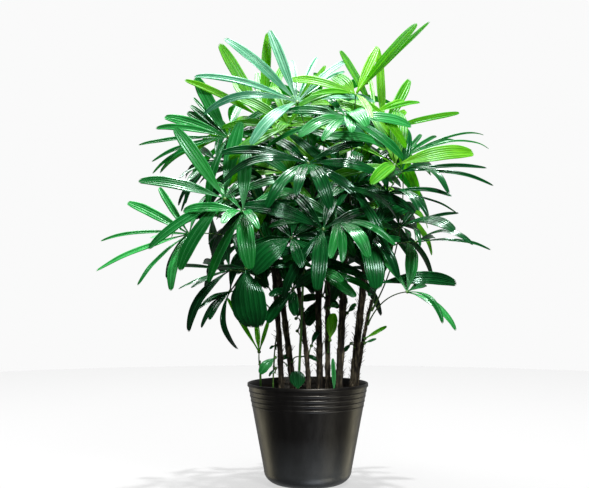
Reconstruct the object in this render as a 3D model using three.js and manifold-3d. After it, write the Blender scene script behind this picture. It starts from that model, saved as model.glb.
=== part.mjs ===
// A lady palm in a nursery pot: a clump of fibre-wrapped canes, each carrying fan leaves on thin
// stalks, planted in potting mix in a tapered black plastic pot. Millimetres, +Z up, the origin in
// the middle of the pot's base, the front of the plant towards -Y.

import * as THREE from 'three';
import { mergeVertices } from 'three/addons/utils/BufferGeometryUtils.js';
import Module from 'manifold-3d';

const wasm = await Module();
wasm.setup();

// ---- The pot ----------------------------------------------------------------------------------

const RIM_HEIGHT = 252;
const RIM_RADIUS = 150;
const RIM_BAND = 8; // height of the plain band above the ribs
const SHOULDER_RADIUS = 147.5; // the wall just under the rim band
const WALL_TAPER = 0.185; // radius lost for each millimetre down the wall
const WALL_THICKNESS = 2.6;
const RIM_CHAMFER = 1; // the small slope at the band's foot and top edge
const RIB_COUNT = 4;
const RIB_PITCH = 12.1;
const RIB_DEPTH = 0.9;
const RIB_WIDTH = 5.2;
const CORNER_HEIGHT = 36; // the round between the wall and the base
const CORNER_REACH = 44; // how far in from the wall it ends
const CORNER_STEPS = 4;
const BASE_THICKNESS = 4;
const DRAIN_COUNT = 6;
const DRAIN_RADIUS = 7;
const DRAIN_CIRCLE = 48;
const DRAIN_SIDES = 12;
const POT_SIDES = 40;

// ---- The potting mix --------------------------------------------------------------------------

const SOIL_TOP = 214;
const SOIL_MOUND = 5; // how far the middle stands above the edge
const MOUND_REACH = 0.6; // where the surface starts to level out, as a share of the way to the wall
const MOUND_SHARE = 0.7; // how much of the mound it has climbed there
const SOIL_SLUMP = 3; // how far its edge has settled away from the wall
const SOIL_FOOT = 16; // how much narrower it is in the round of the pot's corner
const SOIL_SHOULDER = 20; // how far above the round it has its full width
const SOIL_BOTTOM = 30;
const SOIL_GAP = 0.5; // between the mix and the pot wall
const SOIL_SIDES = 24;
const ROOT_DEPTH = 24; // how far a cane goes down into the mix

// ---- The front view ---------------------------------------------------------------------------

// Sideways and upward sizes below were read in the front view at the scale of the plane through
// the pot's axis. The eye is this far in front of that plane, so a point nearer to it is really
// a little closer to the line of sight than it looks.
const EYE_DISTANCE = 3265;
const EYE_X = -33;
const EYE_Z = 596;

// ---- Leaves -----------------------------------------------------------------------------------

const STALK_RADIUS = 1.8;
const STALK_SIDES = 4;
const STALK_STEPS = 4;
const STALK_CLEARANCE = 0.5; // between a stalk and the cane that it grows on
const STALK_LEAN = 0.35; // how far it sets out sideways for each millimetre up its cane
const STALK_RISE = 0.5; // how far along it the bend is pulled, as a share of its span
const HUB_RADIUS = 7; // the small knot where the fingers of a leaf meet
const FINGER_START = 2.6; // how far out from the hub's middle a finger starts
const FINGER_STEPS = 4;
const FINGER_KEEL = 2.2; // thickness along the midrib; the edges are thin
const FINGER_ROOT_WIDTH = 4;
const FINGER_WIDENS = { until: 0.45, curve: 1.2 }; // up to this share of its length
const FINGER_NARROWS = { from: 0.66, by: 0.6, curve: 1.7 }; // by this share of its width at the tip
const FINGER_BEND = 0.6; // where along the finger its arch is highest
const DEPTH_KEPT = 0.75; // share of a finger's unseen length that points to or from the eye
const CLEARANCE = 0.45; // kept between any two leaves
const FILL_SPACING = 36; // degrees between the fingers that fill a leaf's wide gaps
const FILL_REACH = 0.82; // their length as a share of the leaf's reach
const FILL_DROOP = 0.34; // how far their tips hang behind the fan's plane, as a share of the reach
const FILL_WIDTHS = [26, 22, 30]; // used in turn
const FILL_ARCH = 0.12;
const CROWN = { sideways: -25, up: 760, halfWidth: 330, halfHeight: 250 }; // its dense part, an ellipse
const SETTLE_STEP = 16; // a finger is moved to or from the eye by this much at a time
const SETTLE_TRIES = 34;
const SWAY_STEP = 9; // a stalk is bowed sideways by this much at a time
const SWAY_TRIES = 40;

const LEAF_COLOURS = {
  bright: 0x5fae2c,
  middle: 0x2f8a45,
  dark: 0x15552c,
};
const POT_COLOUR = 0x1d1c1a;
const SOIL_COLOUR = 0x2b211a;
const CANE_COLOUR = 0x2c2620;
const YOUNG_COLOUR = 0x4c6a30;

// ---- Canes ------------------------------------------------------------------------------------
//
// foot, bow and top: [sideways, up, forward of the pot's axis], its foot hidden in the mix.
// A young one is still smooth and green.

const CANES = [
  { name: 'stem_a', radius: 3.0, foot: [-117, 190, 22], bow: [-117, 260, 26], top: [-119, 306, 34],
    young: true },
  { name: 'stem_b', radius: 2.0, foot: [-86, 190, 50], bow: [-88, 310, 46], top: [-76, 378, 40],
    young: true },
  { name: 'cane_b', radius: 7.0, foot: [-64, 190, 48], bow: [-68, 400, 62], top: [-99, 668, 92] },
  { name: 'cane_c', radius: 8.0, foot: [-31, 190, -36], bow: [-48, 350, -30], top: [-89, 643, -22] },
  { name: 'cane_d', radius: 3.4, foot: [-26, 190, 82], bow: [-15, 400, 86], top: [-10, 551, 84],
    young: true },
  { name: 'cane_e', radius: 6.0, foot: [4, 190, 56], bow: [1, 380, 50], top: [-59, 705, 36] },
  { name: 'cane_f', radius: 8.0, foot: [31, 190, 0], bow: [29, 400, 14], top: [16, 792, 56] },
  { name: 'cane_g', radius: 6.5, foot: [53, 190, 44], bow: [43, 400, 22], top: [58, 743, -20] },
  { name: 'cane_h', radius: 9.0, foot: [76, 190, 66], bow: [84, 400, 54], top: [103, 775, 30] },
  { name: 'cane_i', radius: 9.5, foot: [108, 190, -8], bow: [124, 390, 6], top: [160, 668, 40] },
  { name: 'cane_j', radius: 5.0, foot: [115, 190, -46], bow: [132, 357, -20], top: [160, 457, 0] },
];
const CANE_SIDES = 8;
const CANE_STEPS = 6;
const CANE_TAPER = 0.8; // top radius over foot radius

// ---- Leaves that show in the front view -------------------------------------------------------
//
// joins: the height on the cane where the stalk leaves it.
// hub: [sideways, up, forward] of the point where the fingers meet.
// face: the way the fan's upper side looks, [turn from the front, tilt from level], in degrees.
// reach: the length of its fingers. One that looks shorter in the front view points to or from
// the eye by the rest.
// fingers: [sideways, up] of the tip, the width, and the arch as a share of the length.

const LEAVES = [
  { name: 'leaf_01', tone: 'middle', cane: 'cane_f', joins: 800, hub: [-27, 949, 170],
    face: [-5, 35], reach: 235, fingers: [
      [-208, 1108, 27, 0.08], [-96, 1128, 24, 0.05], [-283, 1013, 20, 0.10], [-260, 917, 24, 0.22],
      [-143, 842, 30, 0.12], [23, 1061, 14, 0.05], [103, 1053, 16, 0.08], [93, 1026, 14, 0.06],
      [-41, 1053, 20, 0.05],
    ] },
  { name: 'leaf_02', tone: 'bright', cane: 'cane_e', joins: 770, hub: [-111, 907, 60],
    face: [0, 25], reach: 220, fingers: [
      [-220, 1095, 30, 0.04], [-99, 1123, 24, 0.02], [-307, 1004, 18, 0.08], [-183, 999, 28, 0.04],
      [-61, 1043, 22, 0.03], [-126, 1023, 20, 0.03],
    ] },
  { name: 'leaf_03', tone: 'bright', cane: 'cane_f', joins: 760, hub: [-49, 889, 110],
    face: [10, 30], reach: 190, fingers: [
      [45, 1041, 16, 0.05], [21, 1018, 20, 0.05], [16, 986, 22, 0.04], [-74, 877, 26, 0.10],
      [63, 877, 16, 0.10],
    ] },
  { name: 'leaf_04', tone: 'bright', cane: 'cane_h', joins: 770, hub: [119, 968, 150],
    face: [10, 30], reach: 205, fingers: [
      [272, 1145, 24, 0.04], [304, 1150, 12, 0.04], [175, 1088, 22, 0.03], [63, 1013, 34, 0.12],
      [-24, 939, 20, 0.16], [8, 966, 16, 0.08], [160, 909, 18, 0.08],
    ] },
  { name: 'leaf_05', tone: 'bright', cane: 'cane_h', joins: 745, hub: [167, 922, 90],
    face: [15, 30], reach: 190, fingers: [
      [80, 1078, 20, 0.03], [152, 1016, 12, 0.02], [98, 949, 26, 0.08], [279, 949, 14, 0.06],
      [239, 954, 14, 0.05],
    ] },
  { name: 'leaf_06', tone: 'bright', cane: 'cane_i', joins: 720, hub: [187, 879, 30],
    face: [20, 25], reach: 230, fingers: [
      [254, 1006, 26, 0.03], [175, 1086, 24, 0.02], [378, 922, 16, 0.05], [244, 927, 18, 0.06],
      [110, 924, 20, 0.06],
    ] },
  { name: 'leaf_07', tone: 'dark', cane: 'cane_g', joins: 735, hub: [-4, 879, -30],
    face: [0, 20], reach: 180, fingers: [
      [58, 959, 14, 0.04], [-2, 941, 28, 0.04], [-66, 922, 28, 0.05], [68, 854, 26, 0.08],
      [-61, 830, 24, 0.08], [93, 959, 22, 0.04],
    ] },
  { name: 'leaf_08', tone: 'bright', cane: 'cane_i', joins: 690, hub: [217, 792, 170],
    face: [15, 30], reach: 215, fingers: [
      [413, 822, 40, 0.12], [224, 927, 44, 0.10], [152, 922, 20, 0.08], [43, 827, 15, 0.22],
      [155, 745, 30, 0.12],
    ] },
  { name: 'leaf_09', tone: 'dark', cane: 'cane_i', joins: 660, hub: [234, 777, 90],
    face: [30, 30], reach: 230, fingers: [
      [463, 740, 11, 0.12], [446, 785, 12, 0.08], [351, 720, 28, 0.20], [311, 787, 26, 0.10],
      [190, 760, 20, 0.08],
    ] },
  { name: 'leaf_10', tone: 'dark', cane: 'cane_h', joins: 640, hub: [110, 735, 165],
    face: [0, 35], reach: 190, fingers: [
      [125, 825, 34, 0.18], [207, 832, 24, 0.08], [239, 777, 26, 0.08], [-46, 869, 26, 0.06],
      [-46, 825, 24, 0.06], [60, 715, 24, 0.10], [75, 690, 16, 0.10],
    ] },
  { name: 'leaf_11', tone: 'dark', cane: 'cane_f', joins: 690, hub: [1, 797, 205],
    face: [-5, 40], reach: 200, fingers: [
      [-215, 745, 26, 0.25], [-104, 683, 26, 0.18], [-218, 822, 26, 0.12], [58, 680, 34, 0.22],
      [-29, 715, 24, 0.15],
    ] },
  { name: 'leaf_12', tone: 'middle', cane: 'cane_g', joins: 700, hub: [98, 909, 180],
    face: [0, 35], reach: 190, fingers: [
      [147, 887, 38, 0.20], [-24, 862, 30, 0.15], [-109, 832, 12, 0.12], [110, 872, 26, 0.15],
      [36, 852, 24, 0.12],
    ] },
  { name: 'leaf_13', tone: 'middle', cane: 'cane_b', joins: 590, hub: [-207, 709, 190],
    face: [-20, 35], reach: 215, fingers: [
      [-332, 887, 32, 0.06], [-422, 753, 30, 0.10], [-397, 584, 32, 0.08], [-320, 529, 38, 0.10],
      [-166, 902, 36, 0.06], [-128, 765, 22, 0.10],
    ] },
  { name: 'leaf_14', tone: 'middle', cane: 'cane_c', joins: 520, hub: [-295, 621, 90],
    face: [-35, 35], reach: 215, fingers: [
      [-449, 700, 24, 0.08], [-370, 738, 18, 0.05], [-516, 603, 11, 0.10], [-527, 529, 20, 0.06],
      [-424, 492, 13, 0.08], [-340, 479, 32, 0.11], [-392, 611, 14, 0.05],
    ] },
  { name: 'leaf_15', tone: 'middle', cane: 'cane_b', joins: 690, hub: [-198, 862, 100],
    face: [-25, 30], reach: 200, fingers: [
      [-357, 912, 26, 0.08], [-379, 884, 18, 0.10], [-422, 842, 12, 0.06], [-389, 800, 14, 0.10],
      [-387, 770, 10, 0.14], [-300, 924, 22, 0.05], [-292, 941, 16, 0.05], [-280, 1013, 32, 0.04],
      [-285, 961, 9, 0.04],
    ] },
  { name: 'leaf_16', tone: 'dark', cane: 'cane_c', joins: 600, hub: [-228, 805, 20],
    face: [-40, 30], reach: 170, fingers: [
      [-320, 760, 14, 0.05], [-297, 753, 22, 0.05], [-322, 690, 14, 0.12], [-315, 676, 12, 0.10],
      [-268, 835, 18, 0.05],
    ] },
  { name: 'leaf_17', tone: 'middle', cane: 'cane_b', joins: 560, hub: [-161, 676, 225],
    face: [-5, 35], reach: 190, fingers: [
      [-151, 835, 32, 0.10], [-248, 499, 24, 0.10], [-121, 633, 20, 0.15], [-213, 646, 24, 0.12],
      [-143, 531, 40, 0.20],
    ] },
  { name: 'leaf_18', tone: 'dark', cane: 'cane_e', joins: 560, hub: [38, 633, 235],
    face: [0, 35], reach: 200, fingers: [
      [-161, 690, 40, 0.14], [-61, 459, 22, 0.20], [23, 479, 36, 0.14], [-46, 725, 26, 0.10],
      [68, 720, 26, 0.06],
    ] },
  { name: 'leaf_19', tone: 'middle', cane: 'cane_g', joins: 590, hub: [73, 653, 180],
    face: [15, 35], reach: 190, fingers: [
      [152, 561, 38, 0.18], [219, 591, 20, 0.18], [85, 549, 22, 0.15], [55, 559, 22, 0.12],
    ] },
  { name: 'leaf_20', tone: 'dark', cane: 'cane_i', joins: 560, hub: [229, 638, 110],
    face: [30, 35], reach: 200, fingers: [
      [366, 628, 38, 0.16], [376, 673, 9, 0.08], [279, 589, 14, 0.18], [252, 611, 16, 0.06],
      [274, 705, 20, 0.06],
    ] },
  { name: 'leaf_21', tone: 'dark', cane: 'cane_i', joins: 530, hub: [269, 601, 130],
    face: [40, 35], reach: 180, fingers: [
      [411, 594, 24, 0.22], [456, 581, 10, 0.12], [314, 611, 14, 0.10],
    ] },
  { name: 'leaf_22', tone: 'middle', cane: 'cane_j', joins: 395, hub: [247, 477, 130],
    face: [30, 30], reach: 180, fingers: [
      [369, 380, 20, 0.16], [336, 397, 18, 0.22], [287, 494, 24, 0.15], [229, 507, 14, 0.05],
      [254, 598, 36, 0.10],
    ] },
  { name: 'leaf_23', tone: 'dark', cane: 'cane_j', joins: 410, hub: [172, 497, 90],
    face: [20, 30], reach: 200, fingers: [
      [371, 497, 34, 0.16], [190, 584, 30, 0.08], [150, 467, 16, 0.10],
    ] },
  { name: 'leaf_24', tone: 'dark', cane: 'cane_h', joins: 560, hub: [135, 626, 150],
    face: [15, 30], reach: 190, fingers: [
      [227, 507, 26, 0.22], [234, 708, 34, 0.10], [262, 695, 30, 0.10], [170, 482, 52, 0.16],
    ] },
  { name: 'leaf_25', tone: 'dark', cane: 'cane_e', joins: 530, hub: [-41, 611, 215],
    face: [-10, 30], reach: 130, fingers: [
      [-138, 526, 60, 0.18], [-79, 651, 24, 0.10], [-14, 536, 24, 0.12],
    ] },
  { name: 'leaf_26', tone: 'dark', cane: 'cane_c', joins: 470, hub: [-153, 536, 195],
    face: [-15, 25], reach: 150, fingers: [
      [-133, 387, 84, 0.16], [-230, 536, 14, 0.05], [-89, 551, 20, 0.08],
    ] },
  { name: 'leaf_27', tone: 'dark', cane: 'cane_e', joins: 440, hub: [-37, 482, 120],
    face: [-20, 20], reach: 110, fingers: [
      [-101, 400, 30, 0.12], [-96, 467, 22, 0.10], [-29, 417, 26, 0.12],
    ] },
  { name: 'leaf_28', tone: 'dark', cane: 'cane_b', joins: 470, hub: [-193, 531, 140],
    face: [-30, 25], reach: 190, fingers: [
      [-297, 377, 26, 0.20], [-322, 484, 8, 0.05], [-290, 487, 14, 0.05], [-260, 551, 16, 0.10],
      [-352, 539, 10, 0.05],
    ] },
  { name: 'leaf_29', tone: 'dark', cane: 'cane_b', joins: 420, hub: [-193, 479, 95],
    face: [-25, 20], reach: 150, fingers: [
      [-173, 333, 16, 0.45], [-265, 387, 16, 0.15], [-245, 407, 16, 0.08], [-278, 432, 10, 0.05],
      [-260, 449, 14, 0.06],
    ] },
  { name: 'leaf_30', tone: 'middle', cane: 'cane_g', joins: 470, hub: [21, 531, 120],
    face: [5, 30], reach: 150, fingers: [
      [162, 477, 18, 0.14], [88, 502, 24, 0.10], [120, 464, 26, 0.08], [65, 571, 28, 0.05],
    ] },
  { name: 'leaf_31', tone: 'middle', cane: 'cane_j', joins: 430, hub: [234, 810, 40],
    face: [40, 40], reach: 240, fingers: [
      [321, 864, 10, 0.08], [371, 852, 10, 0.12], [438, 867, 7, 0.15], [451, 832, 7, 0.18],
      [282, 869, 12, 0.06],
    ] },
  { name: 'leaf_32', tone: 'dark', cane: 'cane_h', joins: 610, hub: [200, 723, 145],
    face: [20, 35], reach: 180, fingers: [
      [359, 715, 14, 0.12], [299, 668, 24, 0.20], [277, 676, 18, 0.20], [373, 671, 6, 0.12],
    ] },
  { name: 'leaf_33', tone: 'dark', cane: 'cane_f', joins: 450, hub: [36, 467, -20],
    face: [0, 20], reach: 120, fingers: [
      [-2, 392, 28, 0.12], [78, 437, 18, 0.10], [-19, 457, 20, 0.08],
    ] },
  { name: 'leaf_34', tone: 'bright', cane: 'cane_g', joins: 330, hub: [55, 357, 70],
    face: [0, 10], reach: 80, fingers: [
      [63, 425, 26, 0.04],
    ] },
  { name: 'leaf_35', tone: 'bright', cane: 'stem_a', joins: 300, hub: [-121, 328, 40],
    face: [0, 15], reach: 160, fingers: [
      [-201, 464, 12, 0.02], [-128, 402, 13, 0.02], [-96, 410, 10, 0.02],
    ] },
  { name: 'leaf_36', tone: 'middle', cane: 'stem_b', joins: 296, hub: [-81, 314, 86],
    face: [-20, 30], reach: 60, fingers: [
      [-119, 273, 27, 0.14],
    ] },
];

// ---- Young leaves that come straight up out of the potting mix --------------------------------

const SPROUTS = [
  { name: 'leaf_37', tone: 'dark', foot: [-24, 190, 98], hub: [-24, 232, 104], face: [0, 15], reach: 50,
    fingers: [[-27, 281, 36, 0.06]] },
  { name: 'leaf_38', tone: 'middle', foot: [65, 190, 92], hub: [66, 226, 92], face: [10, 10], reach: 92,
    fingers: [[62, 313, 11, 0.03]] },
];

// ---- Leaves round the back: a plain fan each --------------------------------------------------

const BACK_LEAVES = [
  { name: 'leaf_39', tone: 'middle', cane: 'cane_e', joins: 668, hub: [-190, 880, -190], face: [-150, 50],
    reach: 225, count: 8 },
  { name: 'leaf_40', tone: 'middle', cane: 'cane_f', joins: 760, hub: [30, 950, -180], face: [175, 52],
    reach: 235, count: 9 },
  { name: 'leaf_41', tone: 'middle', cane: 'cane_h', joins: 690, hub: [172, 840, -230], face: [150, 48],
    reach: 220, count: 8 },
  { name: 'leaf_42', tone: 'dark', cane: 'cane_c', joins: 628, hub: [-70, 770, -320], face: [-170, 50],
    reach: 225, count: 8 },
  { name: 'leaf_43', tone: 'dark', cane: 'cane_g', joins: 660, hub: [130, 715, -330], face: [165, 50],
    reach: 215, count: 8 },
  { name: 'leaf_44', tone: 'dark', cane: 'cane_c', joins: 560, hub: [-250, 670, -210], face: [-130, 46],
    reach: 195, count: 7 },
  { name: 'leaf_45', tone: 'dark', cane: 'cane_i', joins: 590, hub: [220, 650, -200], face: [130, 46],
    reach: 180, count: 7 },
  { name: 'leaf_46', tone: 'dark', cane: 'cane_f', joins: 570, hub: [10, 590, -330], face: [180, 50],
    reach: 205, count: 8 },
  { name: 'leaf_47', tone: 'dark', cane: 'cane_g', joins: 520, hub: [105, 535, -250], face: [150, 46],
    reach: 155, count: 7 },
];
const FAN_SPREAD = 290; // degrees from the first finger round to the last
const FAN_REACHES = [1, 0.84, 0.94]; // shares of the reach, used in turn
const FAN_WIDTHS = [30, 24, 34]; // used in turn
const FAN_WANDER = 7; // degrees that a finger strays from even spacing
const FAN_WANDER_PACE = 2.4; // how fast that changes from finger to finger
const FAN_DROOP = 0.34; // how far a tip hangs behind the fan's plane, as a share of the reach
const FAN_ARCH = 0.13;

// ---- Working with solids ----------------------------------------------------------------------

/** Drops everything but the shared corner points, so that the mesh is closed. */
function weld(geometry) {
  const bare = geometry.clone();
  bare.deleteAttribute('normal');
  bare.deleteAttribute('uv');
  return mergeVertices(bare, 1e-4);
}

/** A closed geometry as a solid that can be joined and cut. */
function toSolid(geometry) {
  const closed = weld(geometry);
  return new wasm.Manifold(new wasm.Mesh({
    numProp: 3,
    vertProperties: new Float32Array(closed.getAttribute('position').array),
    triVerts: new Uint32Array(closed.index.array),
  }));
}

/** A solid back as a geometry. */
function toGeometry(solid) {
  const { vertProperties, triVerts } = solid.getMesh();
  const geometry = new THREE.BufferGeometry();
  geometry.setAttribute('position', new THREE.BufferAttribute(vertProperties, 3));
  geometry.setIndex(new THREE.BufferAttribute(triVerts, 1));
  geometry.computeVertexNormals();
  return geometry;
}

/** A cylinder's rings moved to where place(along, sideways, outwards) puts each of their points. */
function loft(sides, steps, place) {
  const geometry = weld(new THREE.CylinderGeometry(1, 1, 1, sides, steps));
  const points = geometry.getAttribute('position');
  for (let i = 0; i < points.count; i += 1) {
    const moved = place(points.getY(i) + 0.5, points.getX(i), points.getZ(i));
    points.setXYZ(i, moved.x, moved.y, moved.z);
  }
  return geometry;
}

/** A round bar along a path, its radius given at each place along it. */
function bar(path, radiusAt, sides, steps) {
  return loft(sides, steps, (along, x, z) => {
    const tangent = path.getTangent(along);
    const side = new THREE.Vector3(1, 0, 0).addScaledVector(tangent, -tangent.x).normalize();
    const ahead = new THREE.Vector3().crossVectors(side, tangent);
    return path.getPoint(along)
      .addScaledVector(side, x * radiusAt(along))
      .addScaledVector(ahead, z * radiusAt(along));
  });
}

/** The true place of a point read in the front view. */
function seen(sideways, up, forward) {
  const nearness = (EYE_DISTANCE - forward) / EYE_DISTANCE;
  return new THREE.Vector3(
    EYE_X + (sideways - EYE_X) * nearness,
    -forward,
    EYE_Z + (up - EYE_Z) * nearness,
  );
}

/** The way that a leaf faces: turned from the front, then tilted up from level. */
function facing([turn, tilt]) {
  const turned = THREE.MathUtils.degToRad(turn);
  const tilted = THREE.MathUtils.degToRad(tilt);
  return new THREE.Vector3(
    Math.cos(tilted) * Math.sin(turned),
    -Math.cos(tilted) * Math.cos(turned),
    Math.sin(tilted),
  );
}

// ---- Keeping the pieces apart -----------------------------------------------------------------

const placed = []; // { owner, solid, box } of every bar and blade so far

/** Remembers a solid, so that later ones keep clear of it. */
function keep(owner, solid) {
  const { min, max } = solid.boundingBox();
  placed.push({ owner, solid, min, max });
}

/** Whether a solid runs into anything that belongs to another leaf or cane. */
function blocked(owner, solid) {
  const { min, max } = solid.boundingBox();
  return placed.some((other) => {
    if (other.owner === owner) return false;
    for (let axis = 0; axis < 3; axis += 1) {
      if (other.min[axis] > max[axis] || other.max[axis] < min[axis]) return false;
    }
    const shared = solid.intersect(other.solid);
    const touching = !shared.isEmpty();
    shared.delete();
    return touching;
  });
}

/** 0, 1, -1, 2, -2 ... : the order in which places on both sides are tried. */
function outwards(index) {
  return index % 2 === 0 ? -index / 2 : (index + 1) / 2;
}

// ---- The pot and the potting mix --------------------------------------------------------------

/** The wall's outer radius at a height, without its ribs. */
function wallRadius(height) {
  return SHOULDER_RADIUS - (RIM_HEIGHT - RIM_BAND - height) * WALL_TAPER;
}

/** Radii and heights up the ribbed part of the wall: narrow ribs that stand out of it. */
function ribProfile() {
  const profile = [];
  for (let rib = RIB_COUNT; rib >= 1; rib -= 1) {
    const crest = RIM_HEIGHT - RIM_BAND - rib * RIB_PITCH;
    const foot = crest - RIB_WIDTH / 2;
    const head = crest + RIB_WIDTH / 2;
    profile.push(new THREE.Vector2(wallRadius(foot), foot));
    profile.push(new THREE.Vector2(wallRadius(crest) + RIB_DEPTH, crest));
    profile.push(new THREE.Vector2(wallRadius(head), head));
  }
  return profile;
}

/** Radii and heights of the round between base and wall, from the base outwards. */
function cornerProfile(inset, floor, steps) {
  const footRadius = wallRadius(CORNER_HEIGHT) - CORNER_REACH;
  const profile = [];
  for (let step = 0; step <= steps; step += 1) {
    const angle = (step / steps) * Math.PI / 2;
    profile.push(new THREE.Vector2(
      footRadius + (CORNER_REACH - inset) * Math.sin(angle),
      floor + (CORNER_HEIGHT - floor) * (1 - Math.cos(angle)),
    ));
  }
  return profile;
}

/** The pot: one wall turned round the axis, with its drain holes cut. */
function makePot() {
  const profile = [new THREE.Vector2(0, 0)];
  profile.push(...cornerProfile(0, 0, CORNER_STEPS));
  profile.push(...ribProfile());
  const bandFoot = RIM_HEIGHT - RIM_BAND;
  profile.push(new THREE.Vector2(wallRadius(bandFoot), bandFoot));
  profile.push(new THREE.Vector2(RIM_RADIUS, bandFoot + RIM_CHAMFER));
  profile.push(new THREE.Vector2(RIM_RADIUS, RIM_HEIGHT - RIM_CHAMFER));
  profile.push(new THREE.Vector2(RIM_RADIUS - RIM_CHAMFER, RIM_HEIGHT));
  profile.push(new THREE.Vector2(RIM_RADIUS - RIM_BAND / 2, RIM_HEIGHT));
  profile.push(new THREE.Vector2(wallRadius(bandFoot) - WALL_THICKNESS, bandFoot - RIM_CHAMFER));
  profile.push(...cornerProfile(WALL_THICKNESS, BASE_THICKNESS, CORNER_STEPS - 1).reverse());
  profile.push(new THREE.Vector2(0, BASE_THICKNESS));
  const body = new THREE.LatheGeometry(profile, POT_SIDES);
  body.rotateX(Math.PI / 2);
  let solid = toSolid(body);
  for (let drain = 0; drain < DRAIN_COUNT; drain += 1) {
    const angle = (drain / DRAIN_COUNT) * 2 * Math.PI;
    const hole = new THREE.CylinderGeometry(DRAIN_RADIUS, DRAIN_RADIUS, 4 * BASE_THICKNESS, DRAIN_SIDES);
    hole.rotateX(Math.PI / 2);
    hole.translate(DRAIN_CIRCLE * Math.cos(angle), DRAIN_CIRCLE * Math.sin(angle), 0);
    solid = solid.subtract(toSolid(hole));
  }
  return solid;
}

/** The potting mix: a body that follows the pot's inside, mounded in the middle. */
function makeSoil() {
  const edge = (height) => wallRadius(height) - WALL_THICKNESS - SOIL_GAP;
  const shoulder = CORNER_HEIGHT + SOIL_SHOULDER;
  const profile = [
    new THREE.Vector2(0, SOIL_BOTTOM),
    new THREE.Vector2(edge(CORNER_HEIGHT) - SOIL_FOOT, SOIL_BOTTOM),
    new THREE.Vector2(edge(shoulder) - SOIL_SLUMP, shoulder),
    new THREE.Vector2(edge(SOIL_TOP) - SOIL_SLUMP, SOIL_TOP),
    new THREE.Vector2(edge(SOIL_TOP) * MOUND_REACH, SOIL_TOP + SOIL_MOUND * MOUND_SHARE),
    new THREE.Vector2(0, SOIL_TOP + SOIL_MOUND),
  ];
  const body = new THREE.LatheGeometry(profile, SOIL_SIDES);
  body.rotateX(Math.PI / 2);
  return toSolid(body);
}

// ---- Canes ------------------------------------------------------------------------------------

/** The line up the middle of a cane. */
function canePath(cane) {
  return new THREE.QuadraticBezierCurve3(seen(...cane.foot), seen(...cane.bow), seen(...cane.top));
}

/** A cane's radius at a share of its length. */
function caneRadius(cane, along) {
  return cane.radius * (1 - (1 - CANE_TAPER) * along);
}

/** The solid of a cane, grown on every side by a margin. */
function caneSolid(cane, margin = 0) {
  return toSolid(bar(canePath(cane), (along) => caneRadius(cane, along) + margin, CANE_SIDES, CANE_STEPS));
}

/** How far along its path a cane is at a height. */
function caneAt(path, height) {
  let low = 0;
  let high = 1;
  for (let halving = 0; halving < 24; halving += 1) {
    const middle = (low + high) / 2;
    if (path.getPoint(middle).z < height) low = middle;
    else high = middle;
  }
  return low;
}

// ---- Leaf stalks ------------------------------------------------------------------------------

/** Where a stalk starts and the way it sets out: up along its cane and out towards its hub. */
function stalkFoot(leaf, hub) {
  if (leaf.foot) return { start: seen(...leaf.foot), rise: new THREE.Vector3(0, 0, 1) };
  const cane = CANES.find((candidate) => candidate.name === leaf.cane);
  const path = canePath(cane);
  const along = caneAt(path, leaf.joins);
  const rise = path.getTangent(along);
  const start = path.getPoint(along);
  const out = hub.clone().sub(start).setZ(0).normalize();
  start.addScaledVector(out, caneRadius(cane, along) + STALK_RADIUS + STALK_CLEARANCE);
  return { start, rise: rise.addScaledVector(out, STALK_LEAN).normalize() };
}

/** A stalk's path, bowed to one side by the sway. */
function stalkPath(leaf, hub, sway) {
  const { start, rise } = stalkFoot(leaf, hub);
  const span = hub.clone().sub(start);
  const side = new THREE.Vector3(-span.y, span.x, 0).normalize();
  const bend = start.clone()
    .addScaledVector(rise, span.length() * STALK_RISE)
    .addScaledVector(side, sway);
  return new THREE.QuadraticBezierCurve3(start, bend, hub);
}

/** The solid of a stalk, grown on every side by a margin. */
function stalkSolid(path, margin = 0) {
  return toSolid(bar(path, () => STALK_RADIUS + margin, STALK_SIDES, STALK_STEPS));
}

/** The first way of bowing the stalk that runs into nothing. */
function settleStalk(leaf) {
  for (let attempt = 0; attempt < SWAY_TRIES; attempt += 1) {
    const path = stalkPath(leaf, leaf.centre, outwards(attempt) * SWAY_STEP);
    if (!blocked(leaf.name, stalkSolid(path, CLEARANCE))) {
      keep(leaf.name, stalkSolid(path));
      return;
    }
  }
  throw new Error(`no room for the stalk of ${leaf.name}`);
}

// ---- Leaf fingers -----------------------------------------------------------------------------

/** A finger's width along its length: narrow at the hub, a long strap, a blunt tip. */
function fingerWidth(width, along) {
  const { until, curve } = FINGER_WIDENS;
  const opening = Math.sin(Math.min(along / until, 1) * Math.PI / 2) ** curve;
  const past = Math.max(0, along - FINGER_NARROWS.from) / (1 - FINGER_NARROWS.from);
  const closing = 1 - FINGER_NARROWS.by * past ** FINGER_NARROWS.curve;
  return Math.max(width * opening * closing, FINGER_ROOT_WIDTH * (1 - along));
}

/** The two directions in a fan's plane: up it, and to its side. */
function fanAxes(face) {
  const upper = new THREE.Vector3(0, 0, 1).addScaledVector(face, -face.z).normalize();
  return { upper, side: new THREE.Vector3().crossVectors(upper, face) };
}

/** The tip of a finger that sets out at an angle in its fan's plane and hangs behind it. */
function fanTip(leaf, angle, reach, droop) {
  const { upper, side } = fanAxes(leaf.upside);
  return leaf.centre.clone()
    .addScaledVector(upper, reach * Math.cos(angle))
    .addScaledVector(side, reach * Math.sin(angle))
    .addScaledVector(leaf.upside, -reach * droop);
}

/** The tips of a leaf that shows in the front view, each as a function of how far it is moved. */
function readTips(leaf) {
  const [sideways, up, forward] = leaf.hub;
  return leaf.fingers.map(([tipSideways, tipUp, width, arch]) => {
    const shown = Math.hypot(tipSideways - sideways, tipUp - up);
    const rest = DEPTH_KEPT * Math.sqrt(Math.max(0, leaf.reach ** 2 - shown ** 2));
    const ahead = tipUp < up ? rest : -rest;
    return { width, arch, tipAt: (shift) => seen(tipSideways, tipUp, forward + ahead + shift) };
  });
}

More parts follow.
